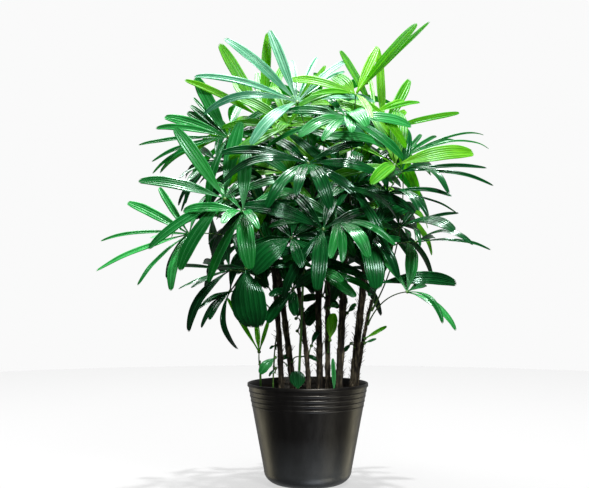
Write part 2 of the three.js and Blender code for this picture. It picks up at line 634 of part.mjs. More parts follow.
/** Whether a point shows inside the dense part of the crown in the front view. */
function inCrown(point) {
  const nearness = (EYE_DISTANCE + point.y) / EYE_DISTANCE;
  const sideways = EYE_X + (point.x - EYE_X) / nearness;
  const up = EYE_Z + (point.z - EYE_Z) / nearness;
  const across = (sideways - CROWN.sideways) / CROWN.halfWidth;
  return Math.hypot(across, (up - CROWN.up) / CROWN.halfHeight) < 1;
}

/** The tips of the fingers that fill a leaf's wide gaps, where they stay inside the dense crown. */
function fillTips(leaf) {
  const { upper, side } = fanAxes(leaf.upside);
  const angleOf = (point) => {
    const way = point.clone().sub(leaf.centre);
    return Math.atan2(way.dot(side), way.dot(upper));
  };
  const taken = readTips(leaf).map(({ tipAt }) => angleOf(tipAt(0)));
  taken.push(angleOf(stalkFoot(leaf, leaf.centre).start));
  taken.sort((a, b) => a - b);
  const tips = [];
  taken.forEach((angle, index) => {
    const next = index + 1 < taken.length ? taken[index + 1] : taken[0] + 2 * Math.PI;
    const extra = Math.floor((next - angle) / THREE.MathUtils.degToRad(FILL_SPACING)) - 1;
    for (let finger = 1; finger <= extra; finger += 1) {
      const turned = angle + (next - angle) * finger / (extra + 1);
      const tip = fanTip(leaf, turned, leaf.reach * FILL_REACH, FILL_DROOP);
      const width = FILL_WIDTHS[tips.length % FILL_WIDTHS.length];
      const tipAt = (shift) => tip.clone().setY(tip.y - shift);
      if (inCrown(tip)) tips.push({ width, arch: FILL_ARCH, tipAt, optional: true });
    }
  });
  return tips;
}

/** The tips of a plain fan, spread round its hub. */
function fanTips(leaf) {
  const tips = [];
  for (let finger = 0; finger < leaf.count; finger += 1) {
    const even = FAN_SPREAD * (finger / (leaf.count - 1) - 0.5);
    const stray = FAN_WANDER * Math.sin(FAN_WANDER_PACE * finger + leaf.reach);
    const angle = THREE.MathUtils.degToRad(even + stray);
    const reach = leaf.reach * FAN_REACHES[finger % FAN_REACHES.length];
    const tip = fanTip(leaf, angle, reach, FAN_DROOP);
    const width = FAN_WIDTHS[finger % FAN_WIDTHS.length];
    tips.push({ width, arch: FAN_ARCH, tipAt: (shift) => tip.clone().setY(tip.y - shift) });
  }
  return tips;
}

/** A finger's solid: a blade with a keel below, arched to the side that the leaf faces. */
function fingerSolid(hub, tip, face, width, arch, margin = 0) {
  const span = tip.clone().sub(hub);
  const chord = span.clone().normalize();
  const upper = face.clone().addScaledVector(chord, -chord.dot(face)).normalize();
  const bend = hub.clone()
    .addScaledVector(span, FINGER_BEND)
    .addScaledVector(upper, 2 * arch * span.length());
  const start = hub.clone().addScaledVector(bend.clone().sub(hub).normalize(), FINGER_START);
  const path = new THREE.QuadraticBezierCurve3(start, bend, tip);
  return toSolid(loft(3, FINGER_STEPS, (along, x, z) => {
    const tangent = path.getTangent(along);
    const normal = upper.clone().addScaledVector(tangent, -tangent.dot(upper)).normalize();
    const across = new THREE.Vector3().crossVectors(normal, tangent);
    const halfWidth = fingerWidth(width, along) / 2 + margin;
    const sideways = x / Math.sin(Math.PI / 3);
    const below = (z + 0.5) / 1.5;
    return path.getPoint(along)
      .addScaledVector(across, sideways * halfWidth)
      .addScaledVector(normal, margin - below * (FINGER_KEEL + 2 * margin));
  }));
}

/** Moves each tip to or from the eye until its finger runs into no other leaf. */
function settleFingers(leaf, tips) {
  tips.forEach(({ width, arch, tipAt, optional }, index) => {
    for (let attempt = 0; attempt < SETTLE_TRIES; attempt += 1) {
      const tip = tipAt(outwards(attempt) * SETTLE_STEP);
      const roomy = fingerSolid(leaf.centre, tip, leaf.upside, width, arch, CLEARANCE);
      if (!blocked(leaf.name, roomy)) {
        keep(leaf.name, fingerSolid(leaf.centre, tip, leaf.upside, width, arch));
        return;
      }
    }
    if (!optional) throw new Error(`no room for finger ${index} of ${leaf.name}`);
  });
}

// ---- Putting it together ----------------------------------------------------------------------

const plant = new THREE.Group();
plant.name = 'potted_lady_palm';

/** Adds a solid to the plant as a named piece with a material of its own. */
function addPiece(name, solid, colour, roughness) {
  const material = new THREE.MeshStandardMaterial({ color: colour, roughness, metalness: 0 });
  const mesh = new THREE.Mesh(toGeometry(solid), material);
  mesh.name = name;
  plant.add(mesh);
}

const pot = makePot();
keep('pot', pot);
CANES.forEach((cane) => keep(cane.name, caneSolid(cane)));

const leaves = [...LEAVES, ...SPROUTS, ...BACK_LEAVES];
leaves.forEach((leaf) => {
  leaf.centre = leaf.count
    ? new THREE.Vector3(leaf.hub[0], -leaf.hub[2], leaf.hub[1])
    : seen(...leaf.hub);
  leaf.upside = facing(leaf.face);
  const knot = new THREE.OctahedronGeometry(HUB_RADIUS);
  knot.translate(leaf.centre.x, leaf.centre.y, leaf.centre.z);
  keep(leaf.name, toSolid(knot));
});
leaves.forEach(settleStalk);
leaves.forEach((leaf) => settleFingers(leaf, leaf.count ? fanTips(leaf) : readTips(leaf)));
LEAVES.forEach((leaf) => settleFingers(leaf, fillTips(leaf)));

let soil = makeSoil();
CANES.forEach((cane) => {
  soil = soil.subtract(caneSolid(cane, SOIL_GAP));
});
SPROUTS.forEach((sprout) => {
  placed.filter(({ owner }) => owner === sprout.name).forEach(({ solid }) => {
    soil = soil.subtract(solid);
  });
});

addPiece('pot', pot, POT_COLOUR, 0.42);
addPiece('soil', soil, SOIL_COLOUR, 0.95);
CANES.forEach((cane) => {
  addPiece(cane.name, caneSolid(cane), cane.young ? YOUNG_COLOUR : CANE_COLOUR, 0.85);
});
leaves.forEach((leaf) => {
  const [first, ...rest] = placed.filter(({ owner }) => owner === leaf.name);
  const solid = rest.reduce((whole, piece) => whole.add(piece.solid), first.solid);
  addPiece(leaf.name, solid, LEAF_COLOURS[leaf.tone], 0.4);
});

export default plant;
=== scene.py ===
"""A lady palm in a ribbed black nursery pot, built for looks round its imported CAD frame.

Fibre-wrapped canes rise out of bark mix and carry pleated fan leaves on thin stalks. Tables and
class sizes are in millimetres, as the CAD's are; meshes, the camera and the lights are in metres.
"""

import logging
import math
from dataclasses import dataclass, field
from enum import Enum
from functools import partial
from typing import Iterable, Sequence

import bmesh
import bpy
import numpy as np
from bpy.types import Collection, Material, Mesh, Node, NodeSocket, NodeTree, Object
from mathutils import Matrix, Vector
from mathutils.kdtree import KDTree


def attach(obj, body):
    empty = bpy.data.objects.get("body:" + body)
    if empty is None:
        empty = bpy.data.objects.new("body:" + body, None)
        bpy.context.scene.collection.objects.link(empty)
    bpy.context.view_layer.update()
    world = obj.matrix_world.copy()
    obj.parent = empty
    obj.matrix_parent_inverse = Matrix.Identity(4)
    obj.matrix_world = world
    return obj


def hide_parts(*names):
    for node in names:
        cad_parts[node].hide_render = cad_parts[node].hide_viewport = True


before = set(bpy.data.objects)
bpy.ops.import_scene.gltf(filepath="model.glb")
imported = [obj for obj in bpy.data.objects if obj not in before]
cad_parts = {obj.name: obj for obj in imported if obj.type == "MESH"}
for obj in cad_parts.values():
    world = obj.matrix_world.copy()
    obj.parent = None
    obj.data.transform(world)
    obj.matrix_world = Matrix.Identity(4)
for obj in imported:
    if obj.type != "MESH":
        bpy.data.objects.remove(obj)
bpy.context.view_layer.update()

LOG = logging.getLogger("lady_palm")
MM = 0.001
BODY = "root"
Array = np.ndarray
Place = tuple[float, float, float]
UP = np.array((0.0, 0.0, 1.0))

# ---- The front view that the tables below were read in ----

EYE_DISTANCE = 3265.0
EYE_X = -33.0
EYE_Z = 596.0


def spot(sideways: float, up: float, forward: float) -> Array:
    """The true place of a point read in the front view.

    Args:
        sideways: Distance to the right of the pot's axis, at the scale of the axis's plane.
        up: Height above the floor, at the same scale.
        forward: Distance in front of the axis's plane.

    Returns:
        The point, in millimetres.
    """
    nearness = (EYE_DISTANCE - forward) / EYE_DISTANCE
    return np.array((
        EYE_X + (sideways - EYE_X) * nearness, -forward, EYE_Z + (up - EYE_Z) * nearness,
    ))


def unit(vector: Array) -> Array:
    """One or many vectors, each at length one, with no division by nought."""
    return vector / np.maximum(np.linalg.norm(vector, axis=-1, keepdims=True), 1e-9)


def upright_to(vector: Array, axes: Array) -> Array:
    """The part of a vector that stands square to each of some axes, at length one."""
    return unit(vector - axes * np.sum(vector * axes, axis=-1, keepdims=True))


def turns(count: int) -> Array:
    """Even angles once round a circle."""
    return np.linspace(0, 2 * np.pi, count, endpoint=False)


def outwards(index: int) -> float:
    """0, 1, -1, 2, -2 ... : the order in which places on both sides are tried."""
    return -index / 2 if index % 2 == 0 else (index + 1) / 2


@dataclass(frozen=True)
class Bow:
    """A smooth curve from one point to another, pulled towards a third."""

    start: Array
    bend: Array
    end: Array
    length_steps: int = 24

    def at(self, along: Array | float) -> Array:
        """Points at the given shares of the way."""
        t = np.asarray(along, dtype=float)[..., None]
        return (1 - t) ** 2 * self.start + 2 * t * (1 - t) * self.bend + t ** 2 * self.end

    def heading(self, along: Array | float) -> Array:
        """Directions of travel at the given shares of the way."""
        t = np.asarray(along, dtype=float)[..., None]
        return unit(2 * (1 - t) * (self.bend - self.start) + 2 * t * (self.end - self.bend))

    def length(self) -> float:
        """The curve's length, in millimetres."""
        points = self.at(np.linspace(0, 1, self.length_steps + 1))
        return float(np.linalg.norm(np.diff(points, axis=0), axis=1).sum())


# ---- Canes and leaves, as in the CAD ----

class Tone(Enum):
    """How much light a leaf gets and lets through, which picks the material of its blade."""

    BRIGHT = "leaf_bright"
    MIDDLE = "leaf_middle"
    DARK = "leaf_dark"


@dataclass(frozen=True)
class Cane:
    """A cane: its foot, bow and top as (sideways, up, forward). A young one is smooth and green."""

    name: str
    radius: float
    foot: Place
    bow: Place
    top: Place
    taper: float = 0.2
    young: bool = False
    halvings: int = 24

    def path(self) -> Bow:
        """The line up the cane's middle."""
        return Bow(spot(*self.foot), spot(*self.bow), spot(*self.top))

    def radius_at(self, along: Array | float) -> Array:
        """The cane's radius at shares of its length."""
        return self.radius * (1 - self.taper * np.asarray(along))

    def share_at(self, height: float) -> float:
        """How far along its path the cane is at a height, found by halving.

        Args:
            height: The height above the floor.

        Returns:
            The share of the way.
        """
        path, low, high = self.path(), 0.0, 1.0
        for _ in range(self.halvings):
            middle = (low + high) / 2
            if path.at(middle)[2] < height:
                low = middle
            else:
                high = middle
        return low


@dataclass(frozen=True)
class Leaf:
    """A fan leaf on its stalk, which leaves its cane at the height joins.

    hub is (sideways, up, forward) of the point where the fingers meet, and face the way the upper
    side looks: turned from the front, then tilted from level. Each finger is (sideways, up) of its
    tip, its width and its arch in hundredths of its length. A sprout has a foot and no cane. A leaf
    that no reading gives has a fan, its number of fingers, and its hub is a true place.
    """

    name: str
    tone: Tone
    cane: str
    joins: float
    hub: Place
    face: tuple[float, float]
    reach: float
    fingers: tuple[tuple[float, float, float, float], ...] = ()
    foot: Place | None = None
    fan: int = 0

    def centre(self) -> Array:
        """The true place of the hub."""
        sideways, up, forward = self.hub
        return np.array((sideways, -forward, up), dtype=float) if self.fan else spot(*self.hub)

    def facing(self) -> Array:
        """The direction that the fan's upper side looks in."""
        turn, tilt = (math.radians(angle) for angle in self.face)
        level = math.cos(tilt)
        return np.array((level * math.sin(turn), -level * math.cos(turn), math.sin(tilt)))


def numbered(kind: str, rows: Iterable[tuple]) -> tuple[Leaf, ...]:
    """Leaves from the rows of a table.

    Args:
        kind: What their names start with, before their numbers.
        rows: What the fields of each say, from its tone onwards.

    Returns:
        The leaves.
    """
    return tuple(Leaf(f"{kind}_{number:02}", *row) for number, row in enumerate(rows, start=1))


BRIGHT, MIDDLE, DARK = Tone
HUNDREDTHS = 100  # of one, which the arches below are in

CANES = (
    Cane("stem_a", 3.0, (-117, 190, 22), (-117, 260, 26), (-119, 306, 34), young=True),
    Cane("stem_b", 2.0, (-86, 190, 50), (-88, 310, 46), (-76, 378, 40), young=True),
    Cane("cane_b", 7.0, (-64, 190, 48), (-68, 400, 62), (-99, 668, 92)),
    Cane("cane_c", 8.0, (-31, 190, -36), (-48, 350, -30), (-89, 643, -22)),
    Cane("cane_d", 3.4, (-26, 190, 82), (-15, 400, 86), (-10, 551, 84), young=True),
    Cane("cane_e", 6.0, (4, 190, 56), (1, 380, 50), (-59, 705, 36)),
    Cane("cane_f", 8.0, (31, 190, 0), (29, 400, 14), (16, 792, 56)),
    Cane("cane_g", 6.5, (53, 190, 44), (43, 400, 22), (58, 743, -20)),
    Cane("cane_h", 9.0, (76, 190, 66), (84, 400, 54), (103, 775, 30)),
    Cane("cane_i", 9.5, (108, 190, -8), (124, 390, 6), (160, 668, 40)),
    Cane("cane_j", 5.0, (115, 190, -46), (132, 357, -20), (160, 457, 0)),
)

LEAVES = numbered("leaf", (
    (MIDDLE, "cane_f", 800, (-27, 949, 170), (-5, 35), 235, (
        (-208, 1108, 27, 8), (-96, 1128, 24, 5), (-283, 1013, 20, 10), (-260, 917, 24, 22),
        (-143, 842, 30, 12), (23, 1061, 14, 5), (103, 1053, 16, 8), (93, 1026, 14, 6),
        (-41, 1053, 20, 5),
    )),
    (BRIGHT, "cane_e", 770, (-111, 907, 60), (0, 25), 220, (
        (-220, 1095, 30, 4), (-99, 1123, 24, 2), (-307, 1004, 18, 8), (-183, 999, 28, 4),
        (-61, 1043, 22, 3), (-126, 1023, 20, 3),
    )),
    (BRIGHT, "cane_f", 760, (-49, 889, 110), (10, 30), 190, (
        (45, 1041, 16, 5), (21, 1018, 20, 5), (16, 986, 22, 4), (-74, 877, 26, 10),
        (63, 877, 16, 10),
    )),
    (BRIGHT, "cane_h", 770, (119, 968, 150), (10, 30), 205, (
        (272, 1145, 24, 4), (304, 1150, 12, 4), (175, 1088, 22, 3), (63, 1013, 34, 12),
        (-24, 939, 20, 16), (8, 966, 16, 8), (160, 909, 18, 8),
    )),
    (BRIGHT, "cane_h", 745, (167, 922, 90), (15, 30), 190, (
        (80, 1078, 20, 3), (152, 1016, 12, 2), (98, 949, 26, 8), (279, 949, 14, 6),
        (239, 954, 14, 5),
    )),
    (BRIGHT, "cane_i", 720, (187, 879, 30), (20, 25), 230, (
        (254, 1006, 26, 3), (175, 1086, 24, 2), (378, 922, 16, 5), (244, 927, 18, 6),
        (110, 924, 20, 6),
    )),
    (DARK, "cane_g", 735, (-4, 879, -30), (0, 20), 180, (
        (58, 959, 14, 4), (-2, 941, 28, 4), (-66, 922, 28, 5), (68, 854, 26, 8), (-61, 830, 24, 8),
        (93, 959, 22, 4),
    )),
    (BRIGHT, "cane_i", 690, (217, 792, 170), (15, 30), 215, (
        (413, 822, 40, 12), (224, 927, 44, 10), (152, 922, 20, 8), (43, 827, 15, 22),
        (155, 745, 30, 12),
    )),
    (DARK, "cane_i", 660, (234, 777, 90), (30, 30), 230, (
        (463, 740, 11, 12), (446, 785, 12, 8), (351, 720, 28, 20), (311, 787, 26, 10),
        (190, 760, 20, 8),
    )),
    (DARK, "cane_h", 640, (110, 735, 165), (0, 35), 190, (
        (125, 825, 34, 18), (207, 832, 24, 8), (239, 777, 26, 8), (-46, 869, 26, 6),
        (-46, 825, 24, 6), (60, 715, 24, 10), (75, 690, 16, 10),
    )),
    (DARK, "cane_f", 690, (1, 797, 205), (-5, 40), 200, (
        (-215, 745, 26, 25), (-104, 683, 26, 18), (-218, 822, 26, 12), (58, 680, 34, 22),
        (-29, 715, 24, 15),
    )),
    (MIDDLE, "cane_g", 700, (98, 909, 180), (0, 35), 190, (
        (147, 887, 38, 20), (-24, 862, 30, 15), (-109, 832, 12, 12), (110, 872, 26, 15),
        (36, 852, 24, 12),
    )),
    (MIDDLE, "cane_b", 590, (-207, 709, 190), (-20, 35), 215, (
        (-332, 887, 32, 6), (-422, 753, 30, 10), (-397, 584, 32, 8), (-320, 529, 38, 10),
        (-166, 902, 36, 6), (-128, 765, 22, 10),
    )),
    (MIDDLE, "cane_c", 520, (-295, 621, 90), (-35, 35), 215, (
        (-449, 700, 24, 8), (-370, 738, 18, 5), (-516, 603, 11, 10), (-527, 529, 20, 6),
        (-424, 492, 13, 8), (-340, 479, 32, 11), (-392, 611, 14, 5),
    )),
    (MIDDLE, "cane_b", 690, (-198, 862, 100), (-25, 30), 200, (
        (-357, 912, 26, 8), (-379, 884, 18, 10), (-422, 842, 12, 6), (-389, 800, 14, 10),
        (-387, 770, 10, 14), (-300, 924, 22, 5), (-292, 941, 16, 5), (-280, 1013, 32, 4),
        (-285, 961, 9, 4),
    )),
    (DARK, "cane_c", 600, (-228, 805, 20), (-40, 30), 170, (
        (-320, 760, 14, 5), (-297, 753, 22, 5), (-322, 690, 14, 12), (-315, 676, 12, 10),
        (-268, 835, 18, 5),
    )),
    (MIDDLE, "cane_b", 560, (-161, 676, 225), (-5, 35), 190, (
        (-151, 835, 32, 10), (-248, 499, 24, 10), (-121, 633, 20, 15), (-213, 646, 24, 12),
        (-143, 531, 40, 20),
    )),
    (DARK, "cane_e", 560, (38, 633, 235), (0, 35), 200, (
        (-161, 690, 40, 14), (-61, 459, 22, 20), (23, 479, 36, 14), (-46, 725, 26, 10),
        (68, 720, 26, 6),
    )),
    (MIDDLE, "cane_g", 590, (73, 653, 180), (15, 35), 190, (
        (152, 561, 38, 18), (219, 591, 20, 18), (85, 549, 22, 15), (55, 559, 22, 12),
    )),
    (DARK, "cane_i", 560, (229, 638, 110), (30, 35), 200, (
        (366, 628, 38, 16), (376, 673, 9, 8), (279, 589, 14, 18), (252, 611, 16, 6),
        (274, 705, 20, 6),
    )),
    (DARK, "cane_i", 530, (269, 601, 130), (40, 35), 180, (
        (411, 594, 24, 22), (456, 581, 10, 12), (314, 611, 14, 10),
    )),
    (MIDDLE, "cane_j", 395, (247, 477, 130), (30, 30), 180, (
        (369, 380, 20, 16), (336, 397, 18, 22), (287, 494, 24, 15), (229, 507, 14, 5),
        (254, 598, 36, 10),
    )),
    (DARK, "cane_j", 410, (172, 497, 90), (20, 30), 200, (
        (371, 497, 34, 16), (190, 584, 30, 8), (150, 467, 16, 10),
    )),
    (DARK, "cane_h", 560, (135, 626, 150), (15, 30), 190, (
        (227, 507, 26, 22), (234, 708, 34, 10), (262, 695, 30, 10), (170, 482, 52, 16),
    )),
    (DARK, "cane_e", 530, (-41, 611, 215), (-10, 30), 130, (
        (-138, 526, 60, 18), (-79, 651, 24, 10), (-14, 536, 24, 12),
    )),
    (DARK, "cane_c", 470, (-153, 536, 195), (-15, 25), 150, (
        (-133, 387, 84, 16), (-230, 536, 14, 5), (-89, 551, 20, 8),
    )),
    (DARK, "cane_e", 440, (-37, 482, 120), (-20, 20), 110, (
        (-101, 400, 30, 12), (-96, 467, 22, 10), (-29, 417, 26, 12),
    )),
    (DARK, "cane_b", 470, (-193, 531, 140), (-30, 25), 190, (
        (-297, 377, 26, 20), (-322, 484, 8, 5), (-290, 487, 14, 5), (-260, 551, 16, 10),
        (-352, 539, 10, 5),
    )),
    (DARK, "cane_b", 420, (-193, 479, 95), (-25, 20), 150, (
        (-173, 333, 16, 45), (-265, 387, 16, 15), (-245, 407, 16, 8), (-278, 432, 10, 5),
        (-260, 449, 14, 6),
    )),
    (MIDDLE, "cane_g", 470, (21, 531, 120), (5, 30), 150, (
        (162, 477, 18, 14), (88, 502, 24, 10), (120, 464, 26, 8), (65, 571, 28, 5),
    )),
    (MIDDLE, "cane_j", 430, (234, 810, 40), (40, 40), 240, (
        (321, 864, 10, 8), (371, 852, 10, 12), (438, 867, 7, 15), (451, 832, 7, 18),
        (282, 869, 12, 6),
    )),
    (DARK, "cane_h", 610, (200, 723, 145), (20, 35), 180, (
        (359, 715, 14, 12), (299, 668, 24, 20), (277, 676, 18, 20), (373, 671, 6, 12),
    )),
    (DARK, "cane_f", 450, (36, 467, -20), (0, 20), 120, (
        (-2, 392, 28, 12), (78, 437, 18, 10), (-19, 457, 20, 8),
    )),
    (BRIGHT, "cane_g", 330, (55, 357, 70), (0, 10), 80, ((63, 425, 26, 4),)),
    (BRIGHT, "stem_a", 300, (-121, 328, 40), (0, 15), 160, (
        (-201, 464, 12, 2), (-128, 402, 13, 2), (-96, 410, 10, 2),
    )),
    (MIDDLE, "stem_b", 296, (-81, 314, 86), (-20, 30), 60, ((-119, 273, 27, 14),)),
    (DARK, "", 0, (-24, 232, 104), (0, 15), 50, ((-27, 281, 36, 6),), (-24, 190, 98)),
    (MIDDLE, "", 0, (66, 226, 92), (10, 10), 92, ((62, 313, 11, 3),), (65, 190, 92)),
    (MIDDLE, "cane_e", 668, (-190, 880, -190), (-150, 50), 225, (), None, 8),
    (MIDDLE, "cane_f", 760, (30, 950, -180), (175, 52), 235, (), None, 9),
    (MIDDLE, "cane_h", 690, (172, 840, -230), (150, 48), 220, (), None, 8),
    (DARK, "cane_c", 628, (-70, 770, -320), (-170, 50), 225, (), None, 8),
    (DARK, "cane_g", 660, (130, 715, -330), (165, 50), 215, (), None, 8),
    (DARK, "cane_c", 560, (-250, 670, -210), (-130, 46), 195, (), None, 7),
    (DARK, "cane_i", 590, (220, 650, -200), (130, 46), 180, (), None, 7),
    (DARK, "cane_f", 570, (10, 590, -330), (180, 50), 205, (), None, 8),
    (DARK, "cane_g", 520, (105, 535, -250), (150, 46), 155, (), None, 7),
))

# Leaves deep inside the crown, fans of seven that fill the gaps between the outer ones, and small
# leaves low down among the canes. They stand for no solid of the CAD.
FREE_LEAVES = numbered("inner", ((*row, (), None, 7) for row in (
    (DARK, "cane_c", 600, (-120, 700, 40), (-30, 45), 170),
    (BRIGHT, "cane_e", 640, (-60, 770, 60), (10, 45), 175),
    (DARK, "cane_f", 700, (40, 850, 20), (0, 40), 170),
    (MIDDLE, "cane_g", 690, (95, 790, 50), (20, 45), 170),
    (BRIGHT, "cane_h", 720, (160, 850, -10), (30, 45), 165),
    (DARK, "cane_b", 620, (-150, 790, 20), (-20, 45), 170),
    (MIDDLE, "cane_f", 600, (10, 700, 90), (0, 45), 165),
    (DARK, "cane_g", 560, (110, 650, 20), (15, 45), 165),
    (BRIGHT, "cane_i", 620, (200, 700, 10), (40, 45), 165),
    (DARK, "cane_c", 520, (-150, 610, 0), (-40, 45), 160),
    (DARK, "cane_e", 560, (-30, 620, 40), (-5, 45), 160),
    (BRIGHT, "cane_b", 650, (-90, 880, -20), (-10, 45), 170),
    (MIDDLE, "cane_g", 735, (70, 930, -40), (10, 45), 170),
    (MIDDLE, "cane_e", 640, (-115, 790, -110), (-155, 50), 165),
    (MIDDLE, "cane_g", 690, (100, 800, -120), (155, 50), 165),
    (DARK, "cane_f", 600, (5, 700, -170), (180, 50), 165),
    (DARK, "cane_c", 520, (-150, 640, -105), (-140, 48), 155),
    (DARK, "cane_h", 580, (170, 690, -105), (140, 48), 155),
    (DARK, "cane_e", 500, (-60, 575, -165), (-170, 48), 145),
    (DARK, "cane_g", 500, (90, 590, -140), (165, 48), 140),
))) + numbered("low", (
    (BRIGHT, "cane_j", 345, (142, 361, -8), (20, 30), 66, ((197, 392, 10, 4),)),
    (MIDDLE, "cane_j", 340, (141, 350, -4), (20, 30), 34, ((171, 361, 7, 4),)),
    (DARK, "cane_i", 340, (108, 349, 22), (-20, 30), 30, ((90, 328, 11, 10),)),
    (DARK, "cane_e", 325, (9, 343, 40), (0, 40), 46, ((28, 379, 13, 30),)),
    (DARK, "cane_c", 300, (-19, 316, 0), (0, 50), 52, ((29, 305, 14, 16),)),
    (DARK, "stem_b", 338, (-79, 344, 48), (-10, 40), 22, ((-95, 335, 7, 18),)),
    (DARK, "stem_b", 280, (-80, 287, 50), (-10, 40), 28, ((-97, 267, 7, 12),)),
    (DARK, "cane_c", 290, (-66, 305, -20), (-10, 45), 40, ((-42, 322, 16, 12),)),
    (DARK, "cane_e", 352, (-26, 380, 26), (-10, 30), 90, ((24, 449, 24, 10),)),
    (DARK, "cane_d", 392, (-29, 411, 20), (-10, 30), 36, ((-9, 439, 12, 10),)),
    (MIDDLE, "cane_g", 412, (52, 437, 24), (10, 40), 30, ((76, 448, 15, 12),)),
    (MIDDLE, "cane_h", 398, (98, 425, 20), (10, 30), 40, ((120, 449, 11, 10), (117, 438, 8, 10))),
))

# ---- Meshes ----

PLAIN_SHADE = 0.5


@dataclass
class MeshDraft:
    """Blocks of points and faces gathered for one object.

    A point has a shade from 0 to 1, and a corner has a place on a flat map, for the finish to read.
    """

    points: list[Array] = field(default_factory=list)
    faces: list[Array] = field(default_factory=list)
    maps: list[Array] = field(default_factory=list)
    shades: list[Array] = field(default_factory=list)
    slots: list[Array] = field(default_factory=list)
    count: int = 0

    def add_points(self, points: Array, shade: float) -> int:
        """Adds points, in millimetres.

        Args:
            points: The points, in rows of three.
            shade: Their shade.

        Returns:
            The number of the first of them.
        """
        first = self.count
        self.points.append(points.reshape(-1, 3))
        self.shades.append(np.full(len(self.points[-1]), shade))
        self.count += len(self.points[-1])
        return first

    def add_faces(self, corners: Array, places: Array, slot: int) -> None:
        """Adds faces with the same number of corners.

        Args:
            corners: Point numbers, one row for each face.
            places: The flat map's place of each of those corners.
            slot: The material slot.
        """
        self.faces.append(corners)
        self.maps.append(places.reshape(-1, 2))
        self.slots.append(np.full(len(corners), slot))

    def add_grid(self, points: Array, places: Array, wrap: bool,
                 shade: float = PLAIN_SHADE, slot: int = 0) -> int:
        """Adds a grid of points and the quads between them.

        Args:
            points: Points in rows and columns.
            places: The map's place of each, with a column more than the points where they wrap.
            wrap: Whether the last column joins the first.
            shade: The points' shade.
            slot: The material slot.

        Returns:
            The number of the first point.
        """
        first = self.add_points(points, shade)
        rows, columns = points.shape[:2]
        row, column = np.meshgrid(
            np.arange(rows - 1), np.arange(columns if wrap else columns - 1), indexing="ij")
        row, column = row.ravel(), column.ravel()
        corners, spots = [], []
        for down, right in ((0, 0), (0, 1), (1, 1), (1, 0)):
            corners.append(first + (row + down) * columns + (column + right) % columns)
            spots.append(places[row + down, column + right])
        self.add_faces(np.stack(corners, axis=1), np.stack(spots, axis=1), slot)
        return first

    def add_barrel(self, points: Array, places: Array, ends: Sequence[Array],
                   end_places: Sequence[tuple[float, float]], slot: int = 0) -> None:
        """Adds a closed round body: rings of points, with triangles that close both ends.

        Args:
            points: The points, one row for each ring.
            places: The map's place of each, with a column more than the points.
            ends: The middles of the first and the last ring.
            end_places: The map's place of all the corners of each end.
            slot: The material slot.
        """
        first = self.add_grid(points, places, True, slot=slot)
        rings, sides = points.shape[:2]
        for start, centre, place in zip((first, first + (rings - 1) * sides), ends, end_places):
            middle = np.full(sides, self.add_points(centre, PLAIN_SHADE))
            ring = start + np.arange(sides)
            corners = np.stack((ring, np.roll(ring, -1), middle), axis=1)
            self.add_faces(corners, np.tile(np.array(place), (sides, 3, 1)), slot)

    def make(self, name: str, finishes: Sequence[Material], sharp: float) -> Object:
        """Makes the object, smooth but for edges that turn by more than an angle.

        Args:
            name: The object's name.
            finishes: The materials of its slots.
            sharp: The angle, in degrees.

        Returns:
            The object, in the scene.
        """
        mesh = bpy.data.meshes.new(name)
        sizes = np.concatenate([np.full(len(block), block.shape[1]) for block in self.faces])
        corners = np.concatenate([block.ravel() for block in self.faces]).astype(np.int32)
        mesh.vertices.add(self.count)
        points = (np.concatenate(self.points) * MM).astype(np.float32)
        mesh.vertices.foreach_set("co", points.ravel())
        mesh.loops.add(len(corners))
        mesh.loops.foreach_set("vertex_index", corners)
        mesh.polygons.add(len(sizes))
        mesh.polygons.foreach_set("loop_start", (np.cumsum(sizes) - sizes).astype(np.int32))
        slots = np.concatenate(self.slots).astype(np.int32)
        mesh.polygons.foreach_set("material_index", slots)
        mesh.update(calc_edges=True)
        layer = mesh.uv_layers.new(name="surface")
        layer.uv.foreach_set("vector", np.concatenate(self.maps).astype(np.float32).ravel())
        shade = mesh.attributes.new("shade", "FLOAT", "POINT")
        shade.data.foreach_set("value", np.concatenate(self.shades).astype(np.float32))
        for finish in finishes:
            mesh.materials.append(finish)
        face_outwards(mesh)
        smooth_by_angle(mesh, sharp)
        piece = bpy.data.objects.new(name, mesh)
        bpy.context.scene.collection.objects.link(piece)
        return piece


def face_outwards(mesh: Mesh) -> None:
    """Turns every closed shell of a mesh so that its faces look outwards.

    Args:
        mesh: The mesh, changed in place.
    """
    work = bmesh.new()
    work.from_mesh(mesh)
    bmesh.ops.recalc_face_normals(work, faces=work.faces)
    work.to_mesh(mesh)
    work.free()


def smooth_by_angle(mesh: Mesh, degrees: float) -> None:
    """Shades a mesh smoothly but for edges that turn by more than an angle."""
    mesh.polygons.foreach_set("use_smooth", np.ones(len(mesh.polygons), dtype=bool))
    mesh.set_sharp_from_angle(angle=math.radians(degrees))


def flat_map(travel: Array, girth: float, sides: int) -> Array:
    """The map's places of rings of points: across by the girth, and up by each ring's travel."""
    across = np.linspace(0, girth, sides + 1)
    return np.stack(np.meshgrid(travel, across, indexing="ij")[::-1], axis=-1)


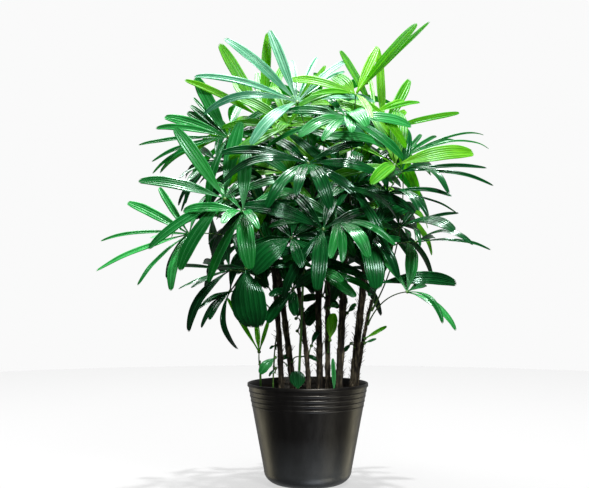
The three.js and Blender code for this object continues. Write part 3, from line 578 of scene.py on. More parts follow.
def add_tube(draft: MeshDraft, path: Bow, radii: Array, sides: int, slot: int = 0) -> None:
    """Adds a closed round bar along a curve.

    Args:
        draft: The mesh that takes it.
        path: The curve up its middle.
        radii: Its radius at even steps along the curve, or one for each side at each step.
        sides: The number of its sides.
        slot: The material slot.
    """
    along = np.linspace(0, 1, len(radii))
    tangent = path.heading(along)
    side = upright_to(np.array((1.0, 0.0, 0.0)), tangent)[:, None]
    ahead = np.cross(side[:, 0], tangent)[:, None]
    turn = turns(sides)[None, :, None]
    out = side * np.cos(turn) + ahead * np.sin(turn)
    spread = radii if radii.ndim == 2 else radii[:, None] * np.ones(sides)
    points = path.at(along)[:, None] + out * spread[..., None]
    length = path.length()
    places = flat_map(along * length, 2 * np.pi * float(np.mean(radii)), sides)
    draft.add_barrel(points, places, (path.at(0.0), path.at(1.0)), ((0, 0), (0, length)), slot)


def add_lathe(draft: MeshDraft, profile: Array, sides: int) -> None:
    """Adds a closed body of revolution round the pot's axis.

    Args:
        draft: The mesh that takes it.
        profile: Radii and heights, from the axis out and back to the axis.
        sides: The number of its sides.
    """
    rings = profile[1:-1]
    turn = turns(sides)
    points = np.empty((len(rings), sides, 3))
    points[..., 0] = rings[:, :1] * np.cos(turn)
    points[..., 1] = rings[:, :1] * np.sin(turn)
    points[..., 2] = rings[:, 1:]
    steps = np.linalg.norm(np.diff(rings, axis=0), axis=1)
    travel = np.concatenate(((0.0,), np.cumsum(steps)))
    ends = tuple(np.array((0, 0, profile[row, 1])) for row in (0, -1))
    draft.add_barrel(points, flat_map(travel, 1, sides), ends, ((0.5, 0.0), (0.5, travel[-1])))


# ---- Finishes ----

def linear(colour: str) -> tuple[float, float, float, float]:
    """An sRGB hex colour as the linear values that a shader takes.

    Args:
        colour: The colour, such as "#1f7a42".

    Returns:
        Red, green, blue and an alpha of one.
    """
    shares = [int(colour[place:place + 2], 16) / 255 for place in (1, 3, 5)]
    red, green, blue = (
        share / 12.92 if share <= 0.04045 else ((share + 0.055) / 1.055) ** 2.4 for share in shares
    )
    return red, green, blue, 1.0


def add_node(tree: NodeTree, kind: str, inputs: dict | None = None,
             stops: Sequence[tuple[float, str]] = (), **settings: object) -> Node:
    """Adds a node, sets its properties and fills its inputs.

    Args:
        tree: The tree that takes the node.
        kind: The node's type name.
        inputs: For each input, by name or number, a value, the output that feeds it, or a node
            whose first output feeds it.
        stops: A colour ramp's places from 0 to 1, each with an sRGB hex colour.
        settings: The node's own properties.

    Returns:
        The node.
    """
    node = tree.nodes.new(kind)
    for setting, value in settings.items():
        setattr(node, setting, value)
    for socket, value in (inputs or {}).items():
        source = value.outputs[0] if isinstance(value, Node) else value
        if isinstance(source, NodeSocket):
            tree.links.new(source, node.inputs[socket])
        else:
            node.inputs[socket].default_value = source
    if stops:
        elements = node.color_ramp.elements
        while len(elements) < len(stops):
            elements.new(0.5)
        for element, (place, colour) in zip(elements, stops):
            element.position = place
            element.color = linear(colour)
    return node


# The numbers of a Mix node's sockets when it mixes numbers and when it mixes colours.
MIX_SHARE, MIX_A, MIX_B = 0, 2, 3
COLOUR_A, COLOUR_B, COLOUR_OUT = 6, 7, 2
# The distance from band to band of a Wave texture whose scale is one.
WAVE_PERIOD = 2 * math.pi / 20


@dataclass(frozen=True)
class Finish:
    """A procedural material, named for what the real surface is.

    relief is the depth of its bump, and relief_share how much of that shows.
    """

    name: str
    roughness: float = 0.5
    relief: float = 0.0
    relief_share: float = 0.0

    def add_shader(self, tree: NodeTree, place: NodeSocket) -> Node:
        """Adds the finish's own nodes.

        Args:
            tree: The material's tree.
            place: The object's coordinates, in metres.

        Returns:
            The node whose shader shows.
        """
        raise NotImplementedError

    def add_skin(self, tree: NodeTree, colour: Node | NodeSocket, height: Node | NodeSocket,
                 inputs: dict | None = None) -> Node:
        """Adds the relief and the surface shader over it.

        Args:
            tree: The material's tree.
            colour: What gives the surface its colour.
            height: What gives the relief its height.
            inputs: Other inputs of the surface shader.

        Returns:
            The surface shader's node.
        """
        bump = add_node(tree, "ShaderNodeBump", {
            "Strength": self.relief_share, "Distance": self.relief * MM, "Height": height,
        })
        return add_node(tree, "ShaderNodeBsdfPrincipled", {
            "Base Color": colour, "Roughness": self.roughness, "Normal": bump, **(inputs or {}),
        })

    def material(self) -> Material:
        """Makes the material.

        Returns:
            The material.
        """
        finish = bpy.data.materials.new(self.name)
        finish.use_nodes = True
        tree = finish.node_tree
        tree.nodes.clear()
        place = add_node(tree, "ShaderNodeTexCoord").outputs["Object"]
        add_node(tree, "ShaderNodeOutputMaterial", {"Surface": self.add_shader(tree, place)})
        return finish


@dataclass(frozen=True)
class LeafBlade(Finish):
    """Waxy palm leaf, grown: a smooth cuticle that gives sharp sky reflections along every pleat,
    pale ribs, fine veins, and light that comes through where the leaf is young and thin.

    Edges are shares of the way from a pleat's rib to its valley, and shares are of full paint.
    The pale paint along the ribs is partly their own colour and partly a painted highlight, and
    the deep paint in the valleys is painted shade.
    """

    deep: str = "#08501f"
    main: str = "#1a7a34"
    light: str = "#3caa52"
    rib: str = "#6cbc80"
    through: str = "#54cc28"
    seen_through: float = 0.3
    roughness: float = 0.25
    relief: float = 0.25
    relief_share: float = 0.16
    ior: float = 1.42
    sheen: str = "#d8fff0"
    shade_weight: float = 0.62
    mottle_size: float = 22.0
    rib_and_highlight_edge: float = 0.16
    rib_and_highlight_share: float = 0.55
    valley_shade_edge: float = 0.62
    valley_painted_shade: float = 0.6
    root_length: float = 45.0
    root_share: float = 0.6
    veins_per_pleat: int = 2  # real veins are about 1.2 mm apart, too fine to show at this size
    streaks_per_pleat: float = 1.7
    streak_length: float = 45.0
    streak_change: float = 60.0  # how fast the streaks change with a finger's shade
    streak_height: float = 5.0  # against a vein's
    wax_range: tuple[float, float] = (-0.05, 0.09)

    def add_shader(self, tree: NodeTree, place: NodeSocket) -> Node:
        """Adds the blade's nodes.

        Args:
            tree: The material's tree.
            place: The object's coordinates, in metres.

        Returns:
            The node whose shader shows.
        """
        add = partial(add_node, tree)
        surface = add("ShaderNodeUVMap", uv_map="surface")
        pleat, travel, _ = add("ShaderNodeSeparateXYZ", {0: surface}).outputs
        shade = add("ShaderNodeAttribute", attribute_name="shade").outputs["Fac"]
        mottle = add("ShaderNodeTexNoise", {
            "Vector": place, "Scale": 1 / (self.mottle_size * MM), "Detail": 3.0,
        })
        tone = add("ShaderNodeMath", {0: shade, 1: self.shade_weight}, operation="MULTIPLY")
        mixed = add("ShaderNodeMath", {
            0: mottle, 1: 1 - self.shade_weight, 2: tone,
        }, operation="MULTIPLY_ADD")
        colour = add("ShaderNodeValToRGB", {0: mixed}, (
            (0.1, self.deep), (0.5, self.main), (0.95, self.light),
        )).outputs["Color"]
        crest = add("ShaderNodeMath", {0: pleat, 1: 1.0}, operation="PINGPONG")
        # Over the tone: pale rib colour along each rib, partly the ribs' own and partly a painted
        # highlight; painted shade in each valley; the ribs' pale colour near the root.
        for source, start, end, start_share, end_share, paint in (
            (crest, 0.0, self.rib_and_highlight_edge, self.rib_and_highlight_share, 0.0, self.rib),
            (crest, self.valley_shade_edge, 1.0, 0.0, self.valley_painted_shade, self.deep),
            (travel, 0.0, self.root_length, self.root_share, 0.0, self.rib),
        ):
            mask = add("ShaderNodeMapRange", {
                "Value": source, "From Min": start, "From Max": end,
                "To Min": start_share, "To Max": end_share,
            })
            colour = add("ShaderNodeMix", {
                MIX_SHARE: mask, COLOUR_A: colour, COLOUR_B: linear(paint),
            }, data_type="RGBA").outputs[COLOUR_OUT]
        vein_place = add("ShaderNodeMath", {
            0: pleat, 1: 2 * math.pi * self.veins_per_pleat,
        }, operation="MULTIPLY")
        vein = add("ShaderNodeMath", {0: vein_place}, operation="SINE")
        streak_place = add("ShaderNodeCombineXYZ", {"X": pleat, "Y": travel, "Z": shade})
        stretched = add("ShaderNodeMapping", {
            "Vector": streak_place,
            "Scale": (self.streaks_per_pleat, 1 / self.streak_length, self.streak_change),
        })
        streaks = add("ShaderNodeTexNoise", {"Vector": stretched, "Scale": 1.0, "Detail": 2.0})
        height = add("ShaderNodeMath", {
            0: streaks, 1: self.streak_height, 2: vein,
        }, operation="MULTIPLY_ADD")
        low, high = self.wax_range
        wax = add("ShaderNodeMapRange", {
            "Value": streaks, "From Min": 0.3, "From Max": 0.7,
            "To Min": self.roughness + low, "To Max": self.roughness + high,
        })
        skin = self.add_skin(tree, colour, height, {
            "Roughness": wax, "IOR": self.ior, "Specular Tint": linear(self.sheen),
        })
        glow = add("ShaderNodeBsdfTranslucent", {"Color": linear(self.through)})
        return add("ShaderNodeMixShader", {0: self.seen_through, 1: skin, 2: glow})


@dataclass(frozen=True)
class LeafStalk(Finish):
    """Green palm stalk, grown: smooth and lightly waxed, streaked lengthwise in two greens."""

    name: str = "green palm stalk"
    green: str = "#2f6b2a"
    pale: str = "#6f9440"
    roughness: float = 0.38
    relief: float = 0.2
    relief_share: float = 0.25
    streak_width: float = 2.5
    streak_length: float = 25.0

    def add_shader(self, tree: NodeTree, place: NodeSocket) -> Node:
        """Adds the stalk's nodes.

        Args:
            tree: The material's tree.
            place: The object's coordinates, in metres.

        Returns:
            The node whose shader shows.
        """
        across = 1 / (self.streak_width * MM)
        stretched = add_node(tree, "ShaderNodeMapping", {
            "Vector": place, "Scale": (across, across, 1 / (self.streak_length * MM)),
        })
        streaks = add_node(tree, "ShaderNodeTexNoise", {
            "Vector": stretched, "Scale": 1.0, "Detail": 2.0,
        })
        colour = add_node(tree, "ShaderNodeValToRGB", {0: streaks}, (
            (0.35, self.green), (0.72, self.pale),
        ))
        return self.add_skin(tree, colour, streaks)


@dataclass(frozen=True)
class FibreNetting(Finish):
    """Dry leaf-sheath fibre, grown and weathered: a matt crossed mat, dark in its gaps, grey-brown
    where single strands catch the light, and pale tan patches that are partly bleached fibre and
    partly a painted highlight. slant is the strands' lean, in radians."""

    name: str = "dry palm sheath fibre"
    gap: str = "#12100c"
    strand: str = "#423a2c"
    bleached_and_lit: str = "#a09478"
    roughness: float = 0.85
    relief: float = 0.8
    relief_share: float = 0.8
    strand_spacing: float = 1.0048  # as close as real strands lie
    slant: float = 0.42
    mat_weight: float = 0.12
    strips_across: float = 230.0
    strips_along: float = 22.0
    patches: float = 38.0
    patch_share: float = 0.4

    def add_shader(self, tree: NodeTree, place: NodeSocket) -> Node:
        """Adds the netting's nodes.

        Args:
            tree: The material's tree.
            place: The object's coordinates, in metres.

        Returns:
            The node whose shader shows.
        """
        add = partial(add_node, tree)
        surface = add("ShaderNodeUVMap", uv_map="surface")
        waves = []
        for lean in (self.slant, -self.slant):
            turned = add("ShaderNodeMapping", {"Vector": surface, "Rotation": (0, 0, lean)})
            waves.append(add("ShaderNodeTexWave", {
                "Vector": turned, "Scale": WAVE_PERIOD / self.strand_spacing, "Distortion": 3.0,
                "Detail": 2.0, "Detail Scale": 0.6,
            }).outputs["Fac"])
        mat = add("ShaderNodeMath", {0: waves[0], 1: waves[1]}, operation="MAXIMUM")
        patch = add("ShaderNodeTexNoise", {"Vector": place, "Scale": self.patches, "Detail": 3.0})
        strip_place = add("ShaderNodeMapping", {
            "Vector": place, "Scale": (self.strips_across, self.strips_across, self.strips_along),
        })
        strips = add("ShaderNodeTexNoise", {"Vector": strip_place, "Scale": 1.0, "Detail": 3.0})
        crossed = add("ShaderNodeMath", {
            0: mat, 1: self.mat_weight, 2: strips,
        }, operation="MULTIPLY_ADD")
        wear_and_light = add("ShaderNodeMix", {MIX_SHARE: self.patch_share, MIX_A: crossed, MIX_B: patch})
        # The pale tan stop is partly bleached fibre and partly a painted highlight.
        colour = add("ShaderNodeValToRGB", {0: wear_and_light}, (
            (0.42, self.gap), (0.56, self.strand), (0.72, self.bleached_and_lit),
        ))
        return self.add_skin(tree, colour, mat)


@dataclass(frozen=True)
class LooseFibre(Finish):
    """Single dry fibres that stand off the netting: matt, darker at random."""

    name: str = "loose palm fibre"
    dark: str = "#1b1712"
    light: str = "#6a5f4a"
    roughness: float = 0.8
    patches: float = 90.0

    def add_shader(self, tree: NodeTree, place: NodeSocket) -> Node:
        """Adds the fibre's nodes.

        Args:
            tree: The material's tree.
            place: The object's coordinates, in metres.

        Returns:
            The node whose shader shows.
        """
        noise = add_node(tree, "ShaderNodeTexNoise", {"Vector": place, "Scale": self.patches})
        colour = add_node(tree, "ShaderNodeValToRGB", {0: noise}, (
            (0.35, self.dark), (0.7, self.light),
        ))
        return add_node(tree, "ShaderNodeBsdfPrincipled", {
            "Base Color": colour, "Roughness": self.roughness,
        })


@dataclass(frozen=True)
class MouldedPlastic(Finish):
    """Black polypropylene, injection moulded: a low satin sheen that smears reflections into soft
    bands, a faint orange peel, and pale grey patches over the lower half that thin out upwards,
    partly dust and partly a painted reflection of the pale floor."""

    name: str = "moulded black polypropylene"
    black: str = "#060505"
    dust_and_floor_reflection: str = "#34373a"
    roughness: float = 0.34
    relief: float = 0.1
    relief_share: float = 0.12
    ior: float = 1.49
    peel_size: float = 1.4
    dust_and_reflection_patches: float = 14.0
    dust_and_reflection_height: float = 130.0
    dust_and_reflection_share: float = 0.85
    scuffs: Place = (60.0, 60.0, 14.0)
    scuff_range: tuple[float, float] = (-0.04, 0.12)

    def add_shader(self, tree: NodeTree, place: NodeSocket) -> Node:
        """Adds the plastic's nodes.

        Args:
            tree: The material's tree.
            place: The object's coordinates, in metres.

        Returns:
            The node whose shader shows.
        """
        add = partial(add_node, tree)
        # Pale grey patches, strongest at the foot and gone by the given height: partly dust, partly
        # a painted reflection of the pale floor.
        dust_and_reflection_noise = add("ShaderNodeTexNoise", {
            "Vector": place, "Scale": self.dust_and_reflection_patches, "Detail": 6.0,
        })
        height = add("ShaderNodeSeparateXYZ", {0: place}).outputs["Z"]
        low = add("ShaderNodeMapRange", {
            "Value": height, "From Min": 0.0, "From Max": self.dust_and_reflection_height * MM,
            "To Min": self.dust_and_reflection_share, "To Max": 0.0,
        })
        share = add("ShaderNodeMath", {0: dust_and_reflection_noise, 1: low}, operation="MULTIPLY")
        colour = add("ShaderNodeValToRGB", {0: share}, ((0.0, self.black), (0.5, self.dust_and_floor_reflection)))
        scuff_place = add("ShaderNodeMapping", {"Vector": place, "Scale": self.scuffs})
        scuffs = add("ShaderNodeTexNoise", {"Vector": scuff_place, "Scale": 1.0, "Detail": 4.0})
        smooth, scuffed = self.scuff_range
        gloss = add("ShaderNodeMapRange", {
            "Value": scuffs, "From Min": 0.3, "From Max": 0.75,
            "To Min": self.roughness + smooth, "To Max": self.roughness + scuffed,
        })
        peel = add("ShaderNodeTexNoise", {"Vector": place, "Scale": 1 / (self.peel_size * MM)})
        return self.add_skin(tree, colour, peel, {"Roughness": gloss, "IOR": self.ior})


@dataclass(frozen=True)
class BarkMix(Finish):
    """Composted bark and peat, milled: matt crumbs from near black to warm brown, damp between."""

    name: str = "composted bark mix"
    peat: str = "#150f0a"
    bark: str = "#4a3020"
    splinter: str = "#8a6545"
    roughness: float = 0.92
    relief: float = 0.8
    relief_share: float = 0.7
    crumb_size: float = 7.0
    grains: float = 420.0
    grain_share: float = 0.5

    def add_shader(self, tree: NodeTree, place: NodeSocket) -> Node:
        """Adds the mix's nodes.

        Args:
            tree: The material's tree.
            place: The object's coordinates, in metres.

        Returns:
            The node whose shader shows.
        """
        add = partial(add_node, tree)
        crumbs = add("ShaderNodeTexVoronoi", {"Vector": place, "Scale": 1 / (self.crumb_size * MM)})
        fine = add("ShaderNodeTexNoise", {"Vector": place, "Scale": self.grains, "Detail": 4.0})
        tint = add("ShaderNodeSeparateColor", {0: crumbs.outputs["Color"]})
        mixed = add("ShaderNodeMath", {
            0: fine, 1: self.grain_share, 2: tint,
        }, operation="MULTIPLY_ADD")
        colour = add("ShaderNodeValToRGB", {0: mixed}, (
            (0.3, self.peat), (0.8, self.bark), (1.0, self.splinter),
        ))
        return self.add_skin(tree, colour, fine)


@dataclass(frozen=True)
class PaintedFloor(Finish):
    """Emulsion on a studio floor, rolled: dead matt and lit up to the surround's white."""

    name: str = "pale painted floor"
    grey: str = "#585858"
    white: str = "#fafafa"
    roughness: float = 0.9
    glow: float = 0.65

    def add_shader(self, tree: NodeTree, place: NodeSocket) -> Node:
        """Adds the floor's one node.

        Args:
            tree: The material's tree.
            place: The object's coordinates, which it doesn't use.

        Returns:
            The node whose shader shows.
        """
        return add_node(tree, "ShaderNodeBsdfPrincipled", {
            "Base Color": linear(self.grey), "Roughness": self.roughness,
            "Specular IOR Level": 0.0, "Emission Color": linear(self.white),
            "Emission Strength": self.glow,
        })


# Lit and shaded copies of one leaf, with painted light in their colours: bright for leaves in the
# sun, dark for leaves in shade, middle in between; the bright one also lets more light through.
BLADES = {
    BRIGHT: LeafBlade(
        "waxy palm leaf, painted sunlit", deep="#277a06", main="#4a9e0c", light="#84c822", rib="#a4d650",
        through="#a0f012", seen_through=0.42, roughness=0.38,
    ),
    MIDDLE: LeafBlade("waxy palm leaf, painted half-lit"),
    DARK: LeafBlade(
        "waxy palm leaf, painted shaded", deep="#02260f", main="#05441b", light="#0f6629", rib="#2a7c42",
        through="#209012", seen_through=0.18, roughness=0.2,
    ),
}
# Painted sheen: a paler copy of the leaf whose colour stands in for the sky's white reflection on
# the front leaf's waxy top.
PAINTED_SHEEN_BLADE = LeafBlade(
    "palm leaf with painted sheen", deep="#16583a", main="#469a70", light="#90ccac", rib="#b8e0c8",
    through="#58d060", seen_through=0.24, roughness=0.3,
)
PAINTED_SHEEN_LEAVES = ("leaf_01",)

# ---- Node trees that scatter small shapes ----

def new_tree(name: str, inputs: dict[str, str]) -> tuple[NodeTree, Node]:
    """A geometry tree with named inputs and nothing in it.

    Args:
        name: The tree's name.
        inputs: For each input after the geometry, its name and its socket type.

    Returns:
        The tree and its input node.
    """
    tree = bpy.data.node_groups.new(name, "GeometryNodeTree")
    for side in ("INPUT", "OUTPUT"):
        tree.interface.new_socket("Geometry", in_out=side, socket_type="NodeSocketGeometry")
    for label, kind in inputs.items():
        tree.interface.new_socket(label, in_out="INPUT", socket_type="NodeSocket" + kind)
    return tree, tree.nodes.new("NodeGroupInput")


def close_tree(tree: NodeTree, given: Node, shapes: Node) -> NodeTree:
    """Gives the scattered shapes the finish, and adds them to the geometry that came in.

    Args:
        tree: The tree.
        given: Its input node, with a geometry and a finish.
        shapes: The node that gives the shapes, made real.

    Returns:
        The same tree, complete.
    """
    dressed = add_node(tree, "GeometryNodeSetMaterial", {
        "Geometry": shapes, "Material": given.outputs["Finish"],
    })
    joined = add_node(tree, "GeometryNodeJoinGeometry", {0: given.outputs["Geometry"]})
    tree.links.new(dressed.outputs[0], joined.inputs[0])
    add_node(tree, "NodeGroupOutput", {0: joined})
    return tree


def apply_tree(piece: Object, tree: NodeTree, values: dict[str, object]) -> None:
    """Runs a geometry tree on an object and keeps the result as its plain mesh.

    Args:
        piece: The object.
        tree: The tree.
        values: The tree's inputs, by name.
    """
    modifier = piece.modifiers.new(tree.name, "NODES")
    modifier.node_group = tree
    for item in tree.interface.items_tree:
        if item.in_out == "INPUT" and item.name in values:
            modifier[item.identifier] = values[item.name]
    keep_result(piece)


def keep_result(piece: Object) -> None:
    """Makes the result of an object's modifiers its plain mesh.

    Args:
        piece: The object, left with no modifier.
    """
    graph = bpy.context.evaluated_depsgraph_get()
    mesh = bpy.data.meshes.new_from_object(piece.evaluated_get(graph))
    piece.modifiers.clear()
    bare, piece.data = piece.data, mesh
    bpy.data.meshes.remove(bare)


def fibre_tree() -> NodeTree:
    """A tree that sets loose fibres on a cane, lying up it and curling away from it.

    Returns:
        The tree, which takes the fibres' number, length, radius, seed and finish.
    """
    # A fibre's start, middle and end in its own lengths: along y, and away from the cane along z.
    curl = {"Start": (0.0, 0.0, -0.04), "Middle": (0.02, 0.5, 0.02), "End": (0.0, 1.0, 0.3)}
    least_lean, most_lean = (-0.1, 0.0, -0.6), (0.25, 0.0, 0.6)
    least_size, most_size = (0.9, 0.3, 0.4), (1.1, 1.3, 1.6)
    tree, given = new_tree("loose fibres", {
        "Fibres per square metre": "Float", "Length": "Float", "Radius": "Float", "Seed": "Int",
        "Finish": "Material",
    })
    add = partial(add_node, tree)
    seed = given.outputs["Seed"]
    points = add("GeometryNodeDistributePointsOnFaces", {
        "Mesh": given, "Density": given.outputs["Fibres per square metre"], "Seed": seed,
    })
    line = add("GeometryNodeCurveQuadraticBezier", {"Resolution": 4, **curl})
    scaled = add("ShaderNodeVectorMath", {
        0: (1.0, 1.0, 1.0), "Scale": given.outputs["Length"],
    }, operation="SCALE")
    sized = add("GeometryNodeTransform", {"Geometry": line, "Scale": scaled})
    ring = add("GeometryNodeCurvePrimitiveCircle", {
        "Resolution": 3, "Radius": given.outputs["Radius"],
    })
    strand = add("GeometryNodeCurveToMesh", {
        "Curve": sized, "Profile Curve": ring, "Fill Caps": True,
    })
    upright = add("FunctionNodeAlignRotationToVector", {
        "Rotation": points.outputs["Rotation"], "Vector": tuple(UP),
    }, axis="Y", pivot_axis="Z")
    lean, size = (
        add("FunctionNodeRandomValue", {0: least, 1: most, "Seed": seed}, data_type="FLOAT_VECTOR")
        for least, most in ((least_lean, most_lean), (least_size, most_size))
    )
    turned = add("FunctionNodeRotateRotation", {
        "Rotation": upright, "Rotate By": lean,
    }, rotation_space="LOCAL")
    placed = add("GeometryNodeInstanceOnPoints", {
        "Points": points, "Instance": strand, "Rotation": turned, "Scale": size,
    })
    return close_tree(tree, given, add("GeometryNodeRealizeInstances", {0: placed}))


def chip_tree() -> NodeTree:
    """A tree that scatters broken bark chips over the upper side of the potting mix.

    Returns:
        The tree, which takes the chips' number and size, the radius that they keep within, the
        height that they lie above, their seed and their finish.
    """
    least_turn, most_turn = (-0.5, -0.5, 0.0), (0.5, 0.5, 6.28)
    least_size, most_size = (0.5, 0.3, 0.15), (1.9, 1.0, 0.45)
    break_scale, break_depth = 190.0, 0.009
    tree, given = new_tree("bark chips", {
        "Chips per square metre": "Float", "Chip": "Float", "Spread": "Float", "Floor": "Float",
        "Seed": "Int", "Finish": "Material",
    })
    add = partial(add_node, tree)
    seed = given.outputs["Seed"]
    place = add("GeometryNodeInputPosition")
    flat = add("ShaderNodeVectorMath", {0: place, 1: (1.0, 1.0, 0.0)}, operation="MULTIPLY")
    away = add("ShaderNodeVectorMath", {0: flat}, operation="LENGTH").outputs["Value"]
    height = add("ShaderNodeSeparateXYZ", {0: place}).outputs["Z"]
    inside = add("ShaderNodeMath", {0: away, 1: given.outputs["Spread"]}, operation="LESS_THAN")
    above = add("ShaderNodeMath", {0: height, 1: given.outputs["Floor"]}, operation="GREATER_THAN")
    chosen = add("ShaderNodeMath", {0: inside, 1: above}, operation="MULTIPLY")
    points = add("GeometryNodeDistributePointsOnFaces", {
        "Mesh": given, "Selection": chosen, "Density": given.outputs["Chips per square metre"],
        "Seed": seed,
    })
    lump = add("GeometryNodeMeshIcoSphere", {"Radius": given.outputs["Chip"], "Subdivisions": 1})
    turn, size = (
        add("FunctionNodeRandomValue", {0: least, 1: most, "Seed": seed}, data_type="FLOAT_VECTOR")
        for least, most in ((least_turn, most_turn), (least_size, most_size))
    )
    placed = add("GeometryNodeInstanceOnPoints", {
        "Points": points, "Instance": lump, "Rotation": turn, "Scale": size,
    })
    real = add("GeometryNodeRealizeInstances", {0: placed})
    noise = add("ShaderNodeTexNoise", {"Vector": place, "Scale": break_scale, "Detail": 1.0})
    centred = add("ShaderNodeVectorMath", {
        0: noise.outputs["Color"], 1: (0.5, 0.5, 0.5),
    }, operation="SUBTRACT")
    shift = add("ShaderNodeVectorMath", {0: centred, "Scale": break_depth}, operation="SCALE")
    broken = add("GeometryNodeSetPosition", {"Geometry": real, "Offset": shift})
    return close_tree(tree, given, broken)


def settle(piece: Object, node: str | None = None) -> Object:
    """Sets a piece on the one body and reports it.

    Args:
        piece: The finished piece.
        node: The CAD node that it stands for, if there is one.

    Returns:
        The piece.
    """
    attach(piece, BODY)
    if node:
        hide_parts(node)
    LOG.info("%s: %d faces", piece.name, len(piece.data.polygons))
    return piece


# ---- The pot and its filling ----

@dataclass(frozen=True)
class RibbedPot:
    """The tapered nursery pot: a plain rim band, rounded ribs below it, and drain holes.

    band is the rim band's section, each point as (inside the rim's radius, below its height).
    """

    rim_height: float = 252.0
    rim_radius: float = 150.0
    rim_band: float = 8.0
    band: tuple[tuple[float, float], ...] = (
        (0.6, 8.3), (0.1, 7.5), (0.0, 6.5), (0.0, 1.2), (0.36, 0.36), (1.2, 0.0), (3.2, 0.0),
        (4.0, 0.8), (4.6, 6.5),
    )
    shoulder_radius: float = 147.5
    taper: float = 0.185
    wall: float = 2.6
    rib_count: int = 4
    rib_pitch: float = 12.1
    rib_depth: float = 0.9
    rib_half_width: float = 2.6
    rib_fullness: float = 0.7
    rib_rows: int = 96
    wall_rows: int = 10
    wall_start: float = 8.0
    wall_stop: float = 2.0
    corner_reach: float = 44.0
    corner_height: float = 36.0
    corner_steps: tuple[int, int] = (14, 12)
    base: float = 4.0
    base_ring: float = 20.0
    drain_count: int = 6
    drain_radius: float = 7.0
    drain_circle: float = 48.0
    drain_sides: int = 24
    sides: int = 160
    sharp: float = 40.0

    def wall_radius(self, height: Array | float) -> Array | float:
        """The outer radius at a height, without the ribs."""
        return self.shoulder_radius - (self.rim_height - self.rim_band - height) * self.taper

    def ribbed_radius(self, height: Array) -> Array:
        """The outer radius at some heights, with the ribs.

        Args:
            height: The heights.

        Returns:
            The radii.
        """
        below = self.rim_height - self.rim_band - height
        number = np.clip(np.round(below / self.rib_pitch), 1, self.rib_count)
        away = np.abs(below - number * self.rib_pitch) / self.rib_half_width
        rise = np.maximum(0, 1 - away ** 2) ** self.rib_fullness
        return self.wall_radius(height) + self.rib_depth * rise

    def corner(self, inset: float, floor: float, steps: int) -> Array:
        """The round between base and wall, from the base outwards.

        Args:
            inset: How far inside the outer surface it runs.
            floor: The height that it starts at.
            steps: The number of its steps.

        Returns:
            Radii and heights.
        """
        foot = self.wall_radius(self.corner_height) - self.corner_reach
        angle = np.linspace(0, np.pi / 2, steps + 1)
        radius = foot + (self.corner_reach - inset) * np.sin(angle)
        height = floor + (self.corner_height - floor) * (1 - np.cos(angle))
        return np.stack((radius, height), axis=1)

    def profile(self) -> Array:
        """The section all round the wall.

        Returns:
            Radii and heights, from the axis under the base out and back to the axis over it.
        """
        band_foot = self.rim_height - self.rim_band
        rib_foot = band_foot - (self.rib_count + 0.5) * self.rib_pitch
        heights = np.concatenate((
            np.linspace(self.corner_height + self.wall_start, rib_foot - self.wall_stop,
                        self.wall_rows),
            np.linspace(rib_foot, band_foot - 0.5, self.rib_rows),
        ))
        outer = np.stack((self.ribbed_radius(heights), heights), axis=1)
        rim = np.array((self.rim_radius, self.rim_height)) - np.array(self.band)
        inner = outer[::-1] - np.array((self.wall, 0.0))
        outer_steps, inner_steps = self.corner_steps
        return np.concatenate((
            ((0.0, 0.0), (self.base_ring, 0.0)), self.corner(0.0, 0.0, outer_steps), outer, rim,
            inner, self.corner(self.wall, self.base, inner_steps)[::-1],
            ((self.base_ring, self.base), (0.0, self.base)),
        ))

    def build(self, finish: Material) -> Object:
        """Makes the pot.

        Args:
            finish: Its material.

        Returns:
            The finished piece.
        """
        draft = MeshDraft()
        add_lathe(draft, self.profile(), self.sides)
        pot = draft.make("ribbed_pot", (finish,), self.sharp)
        for number in range(self.drain_count):
            angle = 2 * math.pi * number / self.drain_count
            x, y = self.drain_circle * math.cos(angle), self.drain_circle * math.sin(angle)
            self.cut_drain(pot, x, y)
        smooth_by_angle(pot.data, self.sharp)
        return settle(pot, "pot")

    def cut_drain(self, pot: Object, x: float, y: float) -> None:
        """Cuts one round drain hole through the base.

        Args:
            pot: The pot.
            x: The hole's distance to the right of the axis.
            y: Its distance behind the axis.
        """
        reach = self.base * 3
        path = Bow(*(np.array((x, y, height)) for height in (-reach, 0.0, reach)))
        plug = MeshDraft()
        add_tube(plug, path, np.full(2, self.drain_radius), self.drain_sides)
        cutter = plug.make("drain_plug", (), self.sharp)
        modifier = pot.modifiers.new("drain", "BOOLEAN")
        modifier.operation = "DIFFERENCE"
        modifier.object = cutter
        keep_result(pot)
        bpy.data.objects.remove(cutter)


